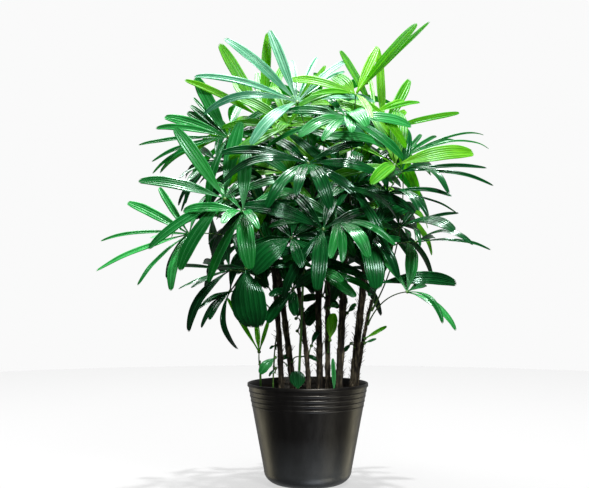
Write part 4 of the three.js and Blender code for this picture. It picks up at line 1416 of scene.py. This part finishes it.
@dataclass(frozen=True)
class PottingMix:
    """The filling of the pot: crumbs littered with bark chips, mounded in the middle.

    slack is how far it keeps inside the pot's wall above the rounded corner.
    """

    pot: RibbedPot
    top: float = 214.0
    mound: float = 5.0
    bottom: float = 30.0
    bottom_ring: float = 60.0
    gap: float = 0.5
    slack: float = 3.0
    corner_slack: float = 16.0
    corner_rise: float = 20.0
    waist: float = 150.0
    brim_drop: float = 6.0
    rings: int = 45
    sides: int = 96
    sharp: float = 80.0
    crumb_depth: float = 2.6
    crumb_edge: float = 1.0
    chips: float = 26000.0
    chip_radius: float = 5.0
    chip_edge: float = 7.0
    chip_drop: float = 3.0
    seed: int = 11

    def edge(self, height: float) -> float:
        """The filling's largest radius at a height."""
        return float(self.pot.wall_radius(height)) - self.pot.wall - self.gap

    def build(self, finish: Material, tree: NodeTree) -> Object:
        """Makes the filling and its chips.

        Args:
            finish: Its material.
            tree: The geometry tree that scatters the chips.

        Returns:
            The finished piece.
        """
        brim = self.edge(self.top) - self.slack
        corner = self.pot.corner_height
        shoulder = corner + self.corner_rise
        low = np.array((
            (0, self.bottom), (self.bottom_ring, self.bottom),
            (self.edge(corner) - self.corner_slack, self.bottom),
            (self.edge(shoulder) - self.slack, shoulder),
            (self.edge(self.waist) - self.slack, self.waist),
            (brim, self.top - self.brim_drop), (brim, self.top),
        ))
        radii = np.linspace(brim, 0, self.rings + 1)[1:]
        crown = self.top + self.mound * (1 - (radii / brim) ** 2)
        draft = MeshDraft()
        add_lathe(draft, np.concatenate((low, np.stack((radii, crown), axis=1))), self.sides)
        self.roughen(draft.points[0], brim)
        mix = draft.make("potting_mix_bark", (finish,), self.sharp)
        apply_tree(mix, tree, {
            "Chips per square metre": self.chips, "Chip": self.chip_radius * MM,
            "Spread": (brim - self.chip_edge) * MM, "Floor": (self.top - self.chip_drop) * MM,
            "Seed": self.seed, "Finish": finish,
        })
        return settle(mix, "soil")

    def roughen(self, points: Array, brim: float) -> None:
        """Sinks the upper side's points by small uneven amounts.

        Args:
            points: The filling's points, changed in place.
            brim: The radius of the upper side.
        """
        rng = np.random.default_rng(self.seed)
        radius = np.hypot(points[:, 0], points[:, 1])
        upper = (points[:, 2] > self.top - self.crumb_edge) & (radius < brim - self.crumb_edge)
        points[upper, 2] -= rng.uniform(0.0, self.crumb_depth, int(upper.sum()))


# ---- Canes ----

@dataclass(frozen=True)
class CaneClump:
    """The canes, wrapped in overlapping sheaths of netting with loose fibres, and the green stems.

    A sheath grows by sheath_step of the cane's radius along its length, and starts again thin.
    Its end is slanted and may stand anywhere within a wander, both as shares of its length.
    """

    sides: int = 20
    ring_spacing: float = 3.5
    sharp: float = 60.0
    slimness: float = 0.96
    sheath_length: float = 62.0
    sheath_step: float = 0.24
    sheath_slant: float = 0.16
    sheath_wander: float = 0.25
    lumpiness: float = 0.04
    lump_waves: tuple[int, ...] = (1, 2, 3, 5)
    lump_sizes: tuple[float, float] = (0.3, 1.0)
    lump_twists: tuple[float, float] = (6.0, 60.0)
    full_turn: float = 6.3
    fibres: float = 9000.0
    fibre_length: float = 14.0
    fibre_radius: float = 0.45
    stem_rings: int = 40
    stem_sides: int = 14
    stem_joints: int = 4
    joint_swell: float = 0.18
    joint_width: float = 0.003
    seed: int = 5
    seed_step: int = 100

    def radii(self, cane: Cane, rings: int, rng: np.random.Generator) -> Array:
        """A cane's radius at every ring and side, with its sheaths and lumps.

        Args:
            cane: The cane.
            rings: The number of rings.
            rng: The source of its unevenness.

        Returns:
            Radii in rows of one ring each.
        """
        along = np.linspace(0, 1, rings)
        up, turn = along[:, None], turns(self.sides)
        wander = rng.uniform(-self.sheath_wander, self.sheath_wander)
        slant = self.sheath_slant * np.cos(turn - rng.uniform(0, self.full_turn))
        phase = up * cane.path().length() / self.sheath_length + wander + slant
        lumps = sum(
            rng.uniform(*self.lump_sizes) * np.sin(
                turn * wave + rng.uniform(0, self.full_turn) + up * rng.uniform(*self.lump_twists)
            )
            for wave in self.lump_waves
        )
        swell = self.slimness + (phase % 1.0) ** 2 * self.sheath_step + lumps * self.lumpiness
        return cane.radius_at(along)[:, None] * swell

    def build_cane(self, cane: Cane, finishes: Sequence[Material], tree: NodeTree,
                   number: int) -> Object:
        """Makes one cane.

        Args:
            cane: The cane.
            finishes: The netting and the loose fibre.
            tree: The geometry tree that sets the loose fibres.
            number: The cane's number, which sets its unevenness.

        Returns:
            The finished piece.
        """
        netting, fibre = finishes
        rng = np.random.default_rng(self.seed * self.seed_step + number)
        rings = int(cane.path().length() / self.ring_spacing)
        draft = MeshDraft()
        add_tube(draft, cane.path(), self.radii(cane, rings, rng), self.sides)
        piece = draft.make("palm_" + cane.name, (netting,), self.sharp)
        apply_tree(piece, tree, {
            "Fibres per square metre": self.fibres, "Length": self.fibre_length * MM,
            "Radius": self.fibre_radius * MM, "Seed": self.seed + number, "Finish": fibre,
        })
        return settle(piece, cane.name)

    def build_stem(self, cane: Cane, finish: Material) -> Object:
        """Makes one smooth green stem, with a slight swelling at each of its joints.

        Args:
            cane: The stem.
            finish: Its material.

        Returns:
            The finished piece.
        """
        along = np.linspace(0, 1, self.stem_rings)
        away = (along * self.stem_joints) % 1 - 0.5
        swell = 1 + self.joint_swell * np.exp(-away ** 2 / self.joint_width)
        draft = MeshDraft()
        add_tube(draft, cane.path(), cane.radius_at(along) * swell, self.stem_sides)
        piece = draft.make("palm_" + cane.name, (finish,), self.sharp)
        return settle(piece, cane.name)

    def build(self, finishes: Sequence[Material], stalk: Material, tree: NodeTree) -> None:
        """Makes every cane and stem.

        Args:
            finishes: The netting and the loose fibre.
            stalk: The material of the green stems.
            tree: The geometry tree that sets the loose fibres.
        """
        for number, cane in enumerate(CANES):
            if cane.young:
                self.build_stem(cane, stalk)
            else:
                self.build_cane(cane, finishes, tree, number)


# ---- Leaves ----

class SolidPoints:
    """The corner points of a CAD node, which show where its parts settled."""

    def __init__(self, node: str) -> None:
        """Reads the node's points.

        Args:
            node: The node's name.
        """
        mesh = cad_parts[node].data
        flat = np.empty(len(mesh.vertices) * 3, dtype=np.float32)
        mesh.vertices.foreach_get("co", flat)
        self.tree = KDTree(len(mesh.vertices))
        for number, point in enumerate(flat.reshape(-1, 3).astype(float) / MM):
            self.tree.insert(point, number)
        self.tree.balance()

    def gap(self, point: Array) -> float:
        """The distance from a place to the nearest corner point."""
        return self.tree.find(point)[2]


@dataclass(frozen=True)
class FingerForm:
    """The pleated blade of a finger: folded along its ribs, blunt and toothed at its tip.

    A blade opens to its full width by opens_by and closes from closes_from, both shares of its
    length. Its bend is at bend_share of its chord.
    """

    start: float = 2.6
    root_width: float = 4.0
    opens_by: float = 0.45
    opening_power: float = 1.2
    closes_from: float = 0.66
    closing: float = 0.6
    closing_power: float = 1.7
    bend_share: float = 0.6
    keel: float = 2.2
    flat_keel: float = 0.35
    pleat_width: float = 6.0
    pleat_rise: float = 0.7
    pleat_fade: float = 0.35
    pleat_columns: int = 4
    rows: int = 26
    thickness: float = 0.5
    twist: float = 14.0
    twist_power: float = 1.4
    tooth: float = 0.045
    tooth_sizes: tuple[float, float] = (0.3, 1.0)
    tip_round: float = 0.03
    fullness: float = 1.15
    waver: float = 0.6
    waver_waves: tuple[float, float] = (9.0, 16.0)
    full_turn: float = 6.3

    def width_at(self, width: float, along: Array) -> Array:
        """The blade's width at shares of its length.

        Args:
            width: Its full width.
            along: The shares.

        Returns:
            The widths.
        """
        opened = np.minimum(along / self.opens_by, 1)
        closed = np.maximum(along - self.closes_from, 0) / (1 - self.closes_from)
        full = np.sin(opened * np.pi / 2) ** self.opening_power
        return np.maximum(
            width * full * (1 - self.closing * closed ** self.closing_power),
            self.root_width * (1 - along),
        )

    def path(self, hub: Array, tip: Array, face: Array,
             arch: float) -> tuple[Bow, Array]:
        """The line up a finger and the way that its upper side looks.

        Args:
            hub: Where the fingers meet.
            tip: The finger's tip.
            face: The way that the fan looks.
            arch: The finger's rise over its chord, as a share of the length.

        Returns:
            The line and the direction.
        """
        span = tip - hub
        upper = upright_to(face, unit(span))
        bend = hub + self.bend_share * span + upper * 2 * arch * np.linalg.norm(span)
        return Bow(hub + unit(bend - hub) * self.start, bend, tip), upper

    def tip_corners(self, path: Bow, upper: Array, width: float) -> list[Array]:
        """The three corners that the CAD's blade has at its tip.

        Args:
            path: The line up the blade.
            upper: The way that its upper side looks.
            width: Its full width.

        Returns:
            The left, the right and the lower corner.
        """
        tangent = path.heading(1.0)
        normal = upright_to(upper, tangent)
        across = np.cross(normal, tangent) * float(self.width_at(width, np.array(1.0))) / 2
        return [path.end - across, path.end + across, path.end - normal * self.keel]

    def add(self, draft: MeshDraft, path: Bow, upper: Array, width: float,
            rng: np.random.Generator) -> None:
        """Adds a blade as a thin closed shell.

        Args:
            draft: The mesh that takes it.
            path: The line up it.
            upper: The way that its upper side looks.
            width: Its full width.
            rng: The source of its unevenness.
        """
        pleats = max(2, round(width / self.pleat_width))
        sideways = np.linspace(-1, 1, pleats * self.pleat_columns + 1)
        edge = np.abs(sideways)
        pleat_place = (sideways + 1) / 2 * pleats
        crest = 1 - 2 * np.abs(2 * (pleat_place % 1) - 1)
        cuts = rng.uniform(*self.tooth_sizes, pleats + 1)
        teeth = self.tooth * cuts[np.minimum(pleat_place.astype(int), pleats)] * (0.5 - 0.5 * crest)
        reach = 1 - self.tip_round * edge ** 2 - teeth
        along = np.linspace(0, 1, self.rows)[:, None] * reach
        tangent = path.heading(along)
        normal = upright_to(upper, tangent)
        across = np.cross(normal, tangent)
        twist = np.radians(rng.uniform(-self.twist, self.twist))
        roll = twist * along[..., None] ** self.twist_power
        across, normal = (
            across * np.cos(roll) + normal * np.sin(roll),
            normal * np.cos(roll) - across * np.sin(roll),
        )
        half = self.width_at(width, along) / 2
        full = np.minimum(1, 2 * half / width * self.fullness)
        fold = self.keel * (1 - edge) * (self.flat_keel + (1 - self.flat_keel) * (1 - along))
        wave = np.sin(along * rng.uniform(*self.waver_waves) + rng.uniform(0, self.full_turn))
        pleat = self.pleat_rise * crest * (1 - self.pleat_fade * along)
        lift = (pleat + self.waver * wave * edge ** 2) * full - fold
        top = path.at(along) + across * (sideways * half)[..., None] + normal * lift[..., None]
        shade = rng.uniform(0, 1)
        places = np.stack(
            (np.broadcast_to(pleat_place, along.shape), along * path.length()), axis=-1)
        first, under = (
            draft.add_grid(skin, places, False, shade)
            for skin in (top, top - normal * self.thickness)
        )
        self.close_edge(draft, first, under, places)

    def close_edge(self, draft: MeshDraft, first: int, under: int, places: Array) -> None:
        """Joins the upper and the lower skin of a blade all the way round.

        Args:
            draft: The mesh that holds both skins.
            first: The upper skin's first point.
            under: The lower skin's first point.
            places: The flat map's places of a skin, in rows and columns.
        """
        grid = np.arange(places[..., 0].size).reshape(places.shape[:2])
        border = np.concatenate((grid[0, :-1], grid[:-1, -1], grid[-1, :0:-1], grid[:0:-1, 0]))
        onward = np.roll(border, -1)
        corners = (first + border, first + onward, under + onward, under + border)
        flat = places.reshape(-1, 2)
        spots = (flat[border], flat[onward], flat[onward], flat[border])
        draft.add_faces(np.stack(corners, axis=1), np.stack(spots, axis=1), 0)


@dataclass(frozen=True)
class StalkForm:
    """A leaf's stalk: a thin bar with a clasping foot, and the knot that the fingers grow from."""

    radius: float = 1.8
    clearance: float = 0.5
    lean: float = 0.35
    bend_share: float = 0.5
    rings: int = 26
    sides: int = 10
    slot: int = 1
    clasp: float = 0.9
    clasp_length: float = 0.05
    slimming: float = 0.28
    flare: float = 0.9
    flare_length: float = 0.012
    knot_radius: float = 4.6
    knot_flatness: float = 0.55
    knot_rings: int = 7
    knot_sides: int = 12
    sway_step: float = 9.0
    sway_tries: int = 40
    sway_marks: tuple[float, ...] = (0.25, 0.5, 0.75)

    def foot(self, leaf: Leaf, hub: Array) -> tuple[Array, Array]:
        """Where a stalk starts and the way it sets out.

        Args:
            leaf: The leaf.
            hub: The true place of its hub.

        Returns:
            The point and the direction.
        """
        if leaf.foot:
            return spot(*leaf.foot), UP
        cane = next(candidate for candidate in CANES if candidate.name == leaf.cane)
        share = cane.share_at(leaf.joins)
        start = cane.path().at(share)
        out = unit((hub - start) * (1 - UP))
        rise = unit(cane.path().heading(share) + self.lean * out)
        away = float(cane.radius_at(share)) + self.radius + self.clearance
        return start + out * away, rise

    def path(self, leaf: Leaf, hub: Array, sway: float) -> Bow:
        """A stalk's line, bowed to one side by the sway.

        Args:
            leaf: The leaf.
            hub: The true place of its hub.
            sway: How far the line's bend is moved to the side.

        Returns:
            The line, from the cane to the hub.
        """
        start, rise = self.foot(leaf, hub)
        span = hub - start
        side = unit(np.array((-span[1], span[0], 0.0)))
        bend = start + rise * np.linalg.norm(span) * self.bend_share + side * sway
        return Bow(start, bend, hub)

    def settled_path(self, leaf: Leaf, hub: Array, solid: SolidPoints) -> Bow:
        """The line that the leaf's CAD stalk follows.

        Args:
            leaf: The leaf.
            hub: The true place of its hub.
            solid: The corner points of the leaf's CAD node.

        Returns:
            The line, from the cane to the hub.
        """
        def miss(path: Bow) -> float:
            """How far the line is from the middle of the solid's stalk, in all."""
            marks = path.at(np.array(self.sway_marks))
            return sum(abs(solid.gap(mark) - self.radius) for mark in marks)

        sways = [outwards(number) * self.sway_step for number in range(self.sway_tries)]
        return min((self.path(leaf, hub, sway) for sway in sways), key=miss)

    def add(self, draft: MeshDraft, path: Bow, face: Array) -> None:
        """Adds a stalk and its knot.

        Args:
            draft: The mesh that takes them.
            path: The stalk's line.
            face: The way that the fan looks.
        """
        even = np.linspace(0, 1, self.rings)
        clasp = 1 + self.clasp * np.exp(-even / self.clasp_length)
        slim = 1 - self.slimming * even + self.flare * np.exp(-(1 - even) / self.flare_length)
        add_tube(draft, path, self.radius * clasp * slim, self.sides, self.slot)
        self.add_knot(draft, path.end, face)

    def add_knot(self, draft: MeshDraft, centre: Array, face: Array) -> None:
        """Adds the flattened knot at the top of a stalk.

        Args:
            draft: The mesh that takes it.
            centre: The knot's middle.
            face: The way that the fan looks, which the knot is flat to.
        """
        side = upright_to(UP, face)
        turn = turns(self.knot_sides)[None, :, None]
        fall = np.linspace(0, np.pi, self.knot_rings + 2)[1:-1, None, None]
        ring = np.cos(turn) * side + np.sin(turn) * np.cross(face, side)
        points = centre + self.knot_radius * (
            ring * np.sin(fall) + self.knot_flatness * face * np.cos(fall)
        )
        places = np.zeros((self.knot_rings, self.knot_sides + 1, 2))
        pole = face * self.knot_radius * self.knot_flatness
        draft.add_barrel(
            points, places, (centre + pole, centre - pole), ((0, 0), (0, 0)), self.slot)


@dataclass(frozen=True)
class Finger:
    """A finger to be made: its width, its arch, and the places that its tip may be at.

    An optional one is left out where the CAD found no room for it.
    """

    width: float
    arch: float
    places: list[Array]
    optional: bool = False


@dataclass(frozen=True)
class Foliage:
    """Every leaf of the plant.

    A fan's fingers are spread evenly but for a wander, in degrees; those that fill the gaps of a
    leaf that was read are at least fill_spacing apart and stay inside the crown's oval.
    """

    form: FingerForm = FingerForm()
    stalk: StalkForm = StalkForm()
    settle_step: float = 16.0
    settle_tries: int = 34
    found_within: float = 6.0
    read_depth: float = 0.75
    fan_spread: float = 290.0
    fan_reaches: tuple[float, ...] = (1.0, 0.84, 0.94)
    fan_widths: tuple[float, ...] = (30.0, 24.0, 34.0)
    fan_wander: float = 7.0
    fan_wander_step: float = 2.4
    fan_droop: float = 0.34
    fan_arch: float = 0.13
    fill_spacing: float = 36.0
    fill_reach: float = 0.82
    fill_droop: float = 0.34
    fill_widths: tuple[float, ...] = (26.0, 22.0, 30.0)
    fill_arch: float = 0.12
    crown_middle: tuple[float, float] = (-25.0, 760.0)
    crown_size: tuple[float, float] = (330.0, 250.0)
    sharp: float = 50.0
    seed: int = 40

    def shifts(self) -> list[float]:
        """The distances that a tip may be moved from the eye, in the order they are tried."""
        return [outwards(number) * self.settle_step for number in range(self.settle_tries)]

    def shifted(self, tip: Array) -> list[Array]:
        """A tip moved along the view by each of the distances."""
        return [tip - np.array((0.0, shift, 0.0)) for shift in self.shifts()]

    def axes(self, leaf: Leaf) -> tuple[Array, Array]:
        """The two directions in a fan's plane: up it, and to its side."""
        upper = upright_to(UP, leaf.facing())
        return upper, np.cross(upper, leaf.facing())

    def fan_tip(self, leaf: Leaf, angle: float, reach: float, droop: float) -> Array:
        """The tip of a finger that sets out at an angle in its fan's plane and hangs behind it.

        Args:
            leaf: The leaf.
            angle: The angle from straight up the plane, in radians.
            reach: The finger's length in the plane.
            droop: How far the tip hangs behind the plane, as a share of the reach.

        Returns:
            The tip.
        """
        upper, side = self.axes(leaf)
        return leaf.centre() + reach * (
            upper * math.cos(angle) + side * math.sin(angle) - leaf.facing() * droop
        )

    def read_fingers(self, leaf: Leaf) -> list[Finger]:
        """The fingers of a leaf that shows in the front view.

        Args:
            leaf: The leaf.

        Returns:
            Its fingers. What the view foreshortens goes back above the hub and forward below it.
        """
        fingers = []
        for sideways, up, width, arch in leaf.fingers:
            shown = math.hypot(sideways - leaf.hub[0], up - leaf.hub[1])
            rest = self.read_depth * math.sqrt(max(0.0, leaf.reach ** 2 - shown ** 2))
            ahead = leaf.hub[2] + (rest if up < leaf.hub[1] else -rest)
            places = [spot(sideways, up, ahead + shift) for shift in self.shifts()]
            fingers.append(Finger(width, arch / HUNDREDTHS, places))
        return fingers

    def in_crown(self, point: Array) -> bool:
        """Whether a point shows inside the dense part of the crown in the front view.

        Args:
            point: The true place.

        Returns:
            Whether it does.
        """
        nearness = (EYE_DISTANCE + point[1]) / EYE_DISTANCE
        across = EYE_X + (point[0] - EYE_X) / nearness - self.crown_middle[0]
        above = EYE_Z + (point[2] - EYE_Z) / nearness - self.crown_middle[1]
        return math.hypot(across / self.crown_size[0], above / self.crown_size[1]) < 1

    def fill_fingers(self, leaf: Leaf) -> list[Finger]:
        """The fingers that fill a leaf's wide gaps, where they stay inside the dense crown.

        Args:
            leaf: A leaf whose other fingers were read.

        Returns:
            The fingers, all of them optional.
        """
        upper, side = self.axes(leaf)
        hub = leaf.centre()
        ends = [finger.places[0] for finger in self.read_fingers(leaf)]
        ends.append(self.stalk.foot(leaf, hub)[0])
        taken = sorted(math.atan2((end - hub) @ side, (end - hub) @ upper) for end in ends)
        fingers = []
        for angle, following in zip(taken, taken[1:] + [taken[0] + 2 * math.pi]):
            extra = math.floor((following - angle) / math.radians(self.fill_spacing)) - 1
            for number in range(1, extra + 1):
                turned = angle + (following - angle) * number / (extra + 1)
                tip = self.fan_tip(leaf, turned, leaf.reach * self.fill_reach, self.fill_droop)
                width = self.fill_widths[len(fingers) % len(self.fill_widths)]
                if self.in_crown(tip):
                    fingers.append(Finger(width, self.fill_arch, self.shifted(tip), optional=True))
        return fingers

    def fan_fingers(self, leaf: Leaf) -> list[Finger]:
        """The fingers of a plain fan.

        Args:
            leaf: The leaf.

        Returns:
            Its fingers, from one side to the other.
        """
        fingers = []
        for number in range(leaf.fan):
            even = self.fan_spread * (number / (leaf.fan - 1) - 0.5)
            wander = self.fan_wander * math.sin(self.fan_wander_step * number + leaf.reach)
            reach = leaf.reach * self.fan_reaches[number % len(self.fan_reaches)]
            tip = self.fan_tip(leaf, math.radians(even + wander), reach, self.fan_droop)
            width = self.fan_widths[number % len(self.fan_widths)]
            fingers.append(Finger(width, self.fan_arch, self.shifted(tip)))
        return fingers

    def line(self, leaf: Leaf, finger: Finger, place: Array) -> tuple[Bow, Array]:
        """A finger's line, with its tip at a place, and the way that its upper side looks."""
        return self.form.path(leaf.centre(), place, leaf.facing(), finger.arch)

    def settled(self, leaf: Leaf, finger: Finger,
                solid: SolidPoints) -> tuple[Bow, Array] | None:
        """Where the CAD's solid has a finger.

        Args:
            leaf: The finger's leaf.
            finger: The finger.
            solid: The corner points of the leaf's CAD node.

        Returns:
            The finger's line and the way that its upper side looks, or nothing if it isn't there.
        """
        def miss(found: tuple[Bow, Array]) -> float:
            """How far the blade's tip is from corners of the solid, in all."""
            return sum(solid.gap(corner) for corner in self.form.tip_corners(*found, finger.width))

        best = min((self.line(leaf, finger, place) for place in finger.places), key=miss)
        return None if finger.optional and miss(best) > self.found_within else best

    def build_leaf(self, leaf: Leaf, finishes: Sequence[Material], number: int,
                   solid: SolidPoints | None = None) -> Object:
        """Makes one leaf, where its CAD node is if it has one.

        Args:
            leaf: The leaf.
            finishes: The materials of its fingers and its stalk.
            number: The leaf's number, which sets its unevenness.
            solid: The corner points of its CAD node. A leaf without one replaces nothing.

        Returns:
            The finished piece.
        """
        rng = np.random.default_rng(self.seed + number)
        draft = MeshDraft()
        read = self.read_fingers(leaf) + (self.fill_fingers(leaf) if solid and not leaf.fan else [])
        for finger in self.fan_fingers(leaf) + read:
            found = (
                self.settled(leaf, finger, solid) if solid
                else self.line(leaf, finger, finger.places[0])
            )
            if found:
                self.form.add(draft, *found, finger.width, rng)
        hub = leaf.centre()
        if solid:
            path = self.stalk.settled_path(leaf, hub, solid)
        else:
            path = self.stalk.path(leaf, hub, 0.0)
        self.stalk.add(draft, path, leaf.facing())
        piece = draft.make("palm_" + leaf.name, finishes, self.sharp)
        return settle(piece, leaf.name if solid else None)

    def build(self, stalk: Material) -> None:
        """Makes every leaf.

        Args:
            stalk: The material of their stalks.
        """
        blades = {tone: finish.material() for tone, finish in BLADES.items()}
        sheen_painted_blade = PAINTED_SHEEN_BLADE.material()
        for number, leaf in enumerate(LEAVES):
            blade = sheen_painted_blade if leaf.name in PAINTED_SHEEN_LEAVES else blades[leaf.tone]
            self.build_leaf(leaf, (blade, stalk), number, SolidPoints(leaf.name))
        for number, leaf in enumerate(FREE_LEAVES, start=len(LEAVES)):
            self.build_leaf(leaf, (blades[leaf.tone], stalk), number)


# ---- The studio ----

def aim(lamp: bpy.types.Light, way: Sequence[float]) -> Object:
    """Puts a lamp in the scene.

    Args:
        lamp: The lamp.
        way: The direction that it shines in.

    Returns:
        The object that holds it, at the origin.
    """
    holder = bpy.data.objects.new(lamp.name, lamp)
    holder.rotation_euler = Vector(way).to_track_quat("-Z", "Y").to_euler()
    bpy.context.scene.collection.objects.link(holder)
    return holder


@dataclass(frozen=True)
class AreaLamp:
    """A square soft light that looks at a point of the plant.

    A reflecting card beside the pot lights only the pot, as if it were flagged off the leaves.
    """

    name: str
    place: Place
    target: Place
    size: float
    power: float
    colour: str = "#ffffff"
    for_pot: bool = False

    def build(self, pot: Collection) -> None:
        """Makes the lamp.

        Args:
            pot: The collection that holds the pot alone.
        """
        lamp = bpy.data.lights.new(self.name, "AREA")
        lamp.shape = "SQUARE"
        lamp.size = self.size
        lamp.energy = self.power
        lamp.color = linear(self.colour)[:3]
        holder = aim(lamp, Vector(self.target) - Vector(self.place))
        holder.location = self.place
        holder.visible_camera = False
        if self.for_pot:
            holder.light_linking.receiver_collection = pot


@dataclass(frozen=True)
class Studio:
    """A pale floor, a plain white surround, soft lamps and the camera.

    key_way is the way that the distant key light shines, and key_spread its width as an angle.
    The surround's glow in reflections rises over back_range, measured towards the back.
    """

    lens: float = 80.3
    sensor: float = 36.0
    floor_radius: float = 3200.0
    floor_depth: float = 4.0
    floor_bevel: float = 2.0
    floor_sides: int = 96
    surround: str = "#fafafa"
    ambient: float = 0.12
    front_glow: float = 0.07
    back_glow: float = 0.36
    back_range: tuple[float, float] = (0.0, 0.75)
    key_way: Place = (-0.12, -0.22, -1.0)
    key_spread: float = 3.0
    key_strength: float = 7.5
    lamps: tuple[AreaLamp, ...] = (
        AreaLamp("overhead softbox", (-0.3, 0.9, 2.9), (0.0, 0.0, 0.7), 1.6, 120.0),
        AreaLamp("front softbox", (0.6, -2.3, 2.5), (0.0, 0.0, 0.6), 0.7, 95.0),
        AreaLamp("left card", (-1.6, 0.9, -0.5), (0.0, 0.0, 0.1), 0.9, 3.4, "#fff4cc", True),
        AreaLamp("right card", (1.6, 0.9, -0.5), (0.0, 0.0, 0.1), 0.9, 3.8, "#fff4cc", True),
        AreaLamp(
            "right front card", (0.9, -0.55, -0.85), (0.0, 0.0, 0.05), 0.6, 3.6, "#fff8e0", True,
        ),
        AreaLamp("floor card", (0.26, -0.48, -0.72), (0.0, -0.1, 0.03), 0.6, 2.5, "#e8f0ff", True),
        AreaLamp("rib card", (0.5, -1.4, 1.0), (0.0, 0.0, 0.22), 0.3, 26.0, "#fff8e8", True),
    )

    def build_floor(self) -> None:
        """Makes the floor, a thin round slab with its upper side at height zero.

        It takes light and shadow but throws none back, so the plant's underside stays deep.
        """
        inner, middle = self.floor_radius - self.floor_bevel, self.floor_bevel - self.floor_depth
        draft = MeshDraft()
        add_lathe(draft, np.array((
            (0, -self.floor_depth), (inner, -self.floor_depth), (self.floor_radius, middle),
            (inner, 0), (0, 0),
        )), self.floor_sides)
        floor = draft.make("pale_floor", (PaintedFloor().material(),), sharp=40)
        floor.visible_shadow = False
        floor.visible_diffuse = False
        floor.visible_glossy = False

    def build_key(self) -> None:
        """Makes the key light, distant enough to light the whole floor evenly."""
        lamp = bpy.data.lights.new("key light", "SUN")
        lamp.angle = math.radians(self.key_spread)
        lamp.energy = self.key_strength
        aim(lamp, self.key_way)

    def build_world(self) -> None:
        """Makes the surround: plain white to the camera, brighter behind the plant than in front
        of it in reflections, and dim as a fill light."""
        world = bpy.data.worlds.new("white surround")
        bpy.context.scene.world = world
        world.use_nodes = True
        tree = world.node_tree
        add = partial(add_node, tree)
        tree.nodes.clear()
        ray = add("ShaderNodeLightPath").outputs
        place = add("ShaderNodeTexCoord").outputs["Generated"]
        start, end = self.back_range
        behind = add("ShaderNodeMapRange", {
            "Value": add("ShaderNodeSeparateXYZ", {0: place}).outputs["Y"],
            "From Min": start, "From Max": end,
            "To Min": self.front_glow, "To Max": self.back_glow,
        }, interpolation_type="SMOOTHSTEP")
        dim = add("ShaderNodeMix", {
            MIX_SHARE: ray["Is Glossy Ray"], MIX_A: self.ambient, MIX_B: behind,
        })
        strength = add("ShaderNodeMix", {MIX_SHARE: ray["Is Camera Ray"], MIX_A: dim, MIX_B: 1.0})
        light = add("ShaderNodeBackground", {"Color": linear(self.surround), "Strength": strength})
        add("ShaderNodeOutputWorld", {"Surface": light})

    def build_camera(self) -> None:
        """Makes the camera, level and straight in front as the photograph's was."""
        lens = bpy.data.cameras.new("front camera")
        lens.lens = self.lens
        lens.sensor_width = self.sensor
        camera = bpy.data.objects.new("front camera", lens)
        camera.location = (EYE_X * MM, -EYE_DISTANCE * MM, EYE_Z * MM)
        camera.rotation_euler = (math.pi / 2, 0.0, 0.0)
        bpy.context.scene.collection.objects.link(camera)
        bpy.context.scene.camera = camera

    def build(self, pot: Object) -> None:
        """Makes the whole studio.

        Args:
            pot: The pot, which some of the lamps light alone.
        """
        pot_alone = bpy.data.collections.new("pot alone")
        pot_alone.objects.link(pot)
        self.build_camera()
        self.build_floor()
        self.build_world()
        self.build_key()
        for lamp in self.lamps:
            lamp.build(pot_alone)
        bpy.context.scene.view_settings.view_transform = "Standard"


def write_sizes() -> None:
    """Brings the view layer up to date."""
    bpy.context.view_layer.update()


def main() -> None:
    """Builds the pot and the studio round it, the filling, the canes and the leaves."""
    logging.basicConfig(level=logging.INFO, format="%(name)s %(message)s")
    pot = RibbedPot()
    Studio().build(pot.build(MouldedPlastic().material()))
    PottingMix(pot).build(BarkMix().material(), chip_tree())
    stalk = LeafStalk().material()
    CaneClump().build((FibreNetting().material(), LooseFibre().material()), stalk, fibre_tree())
    Foliage().build(stalk)
    write_sizes()


if __name__ == "__main__":
    main()
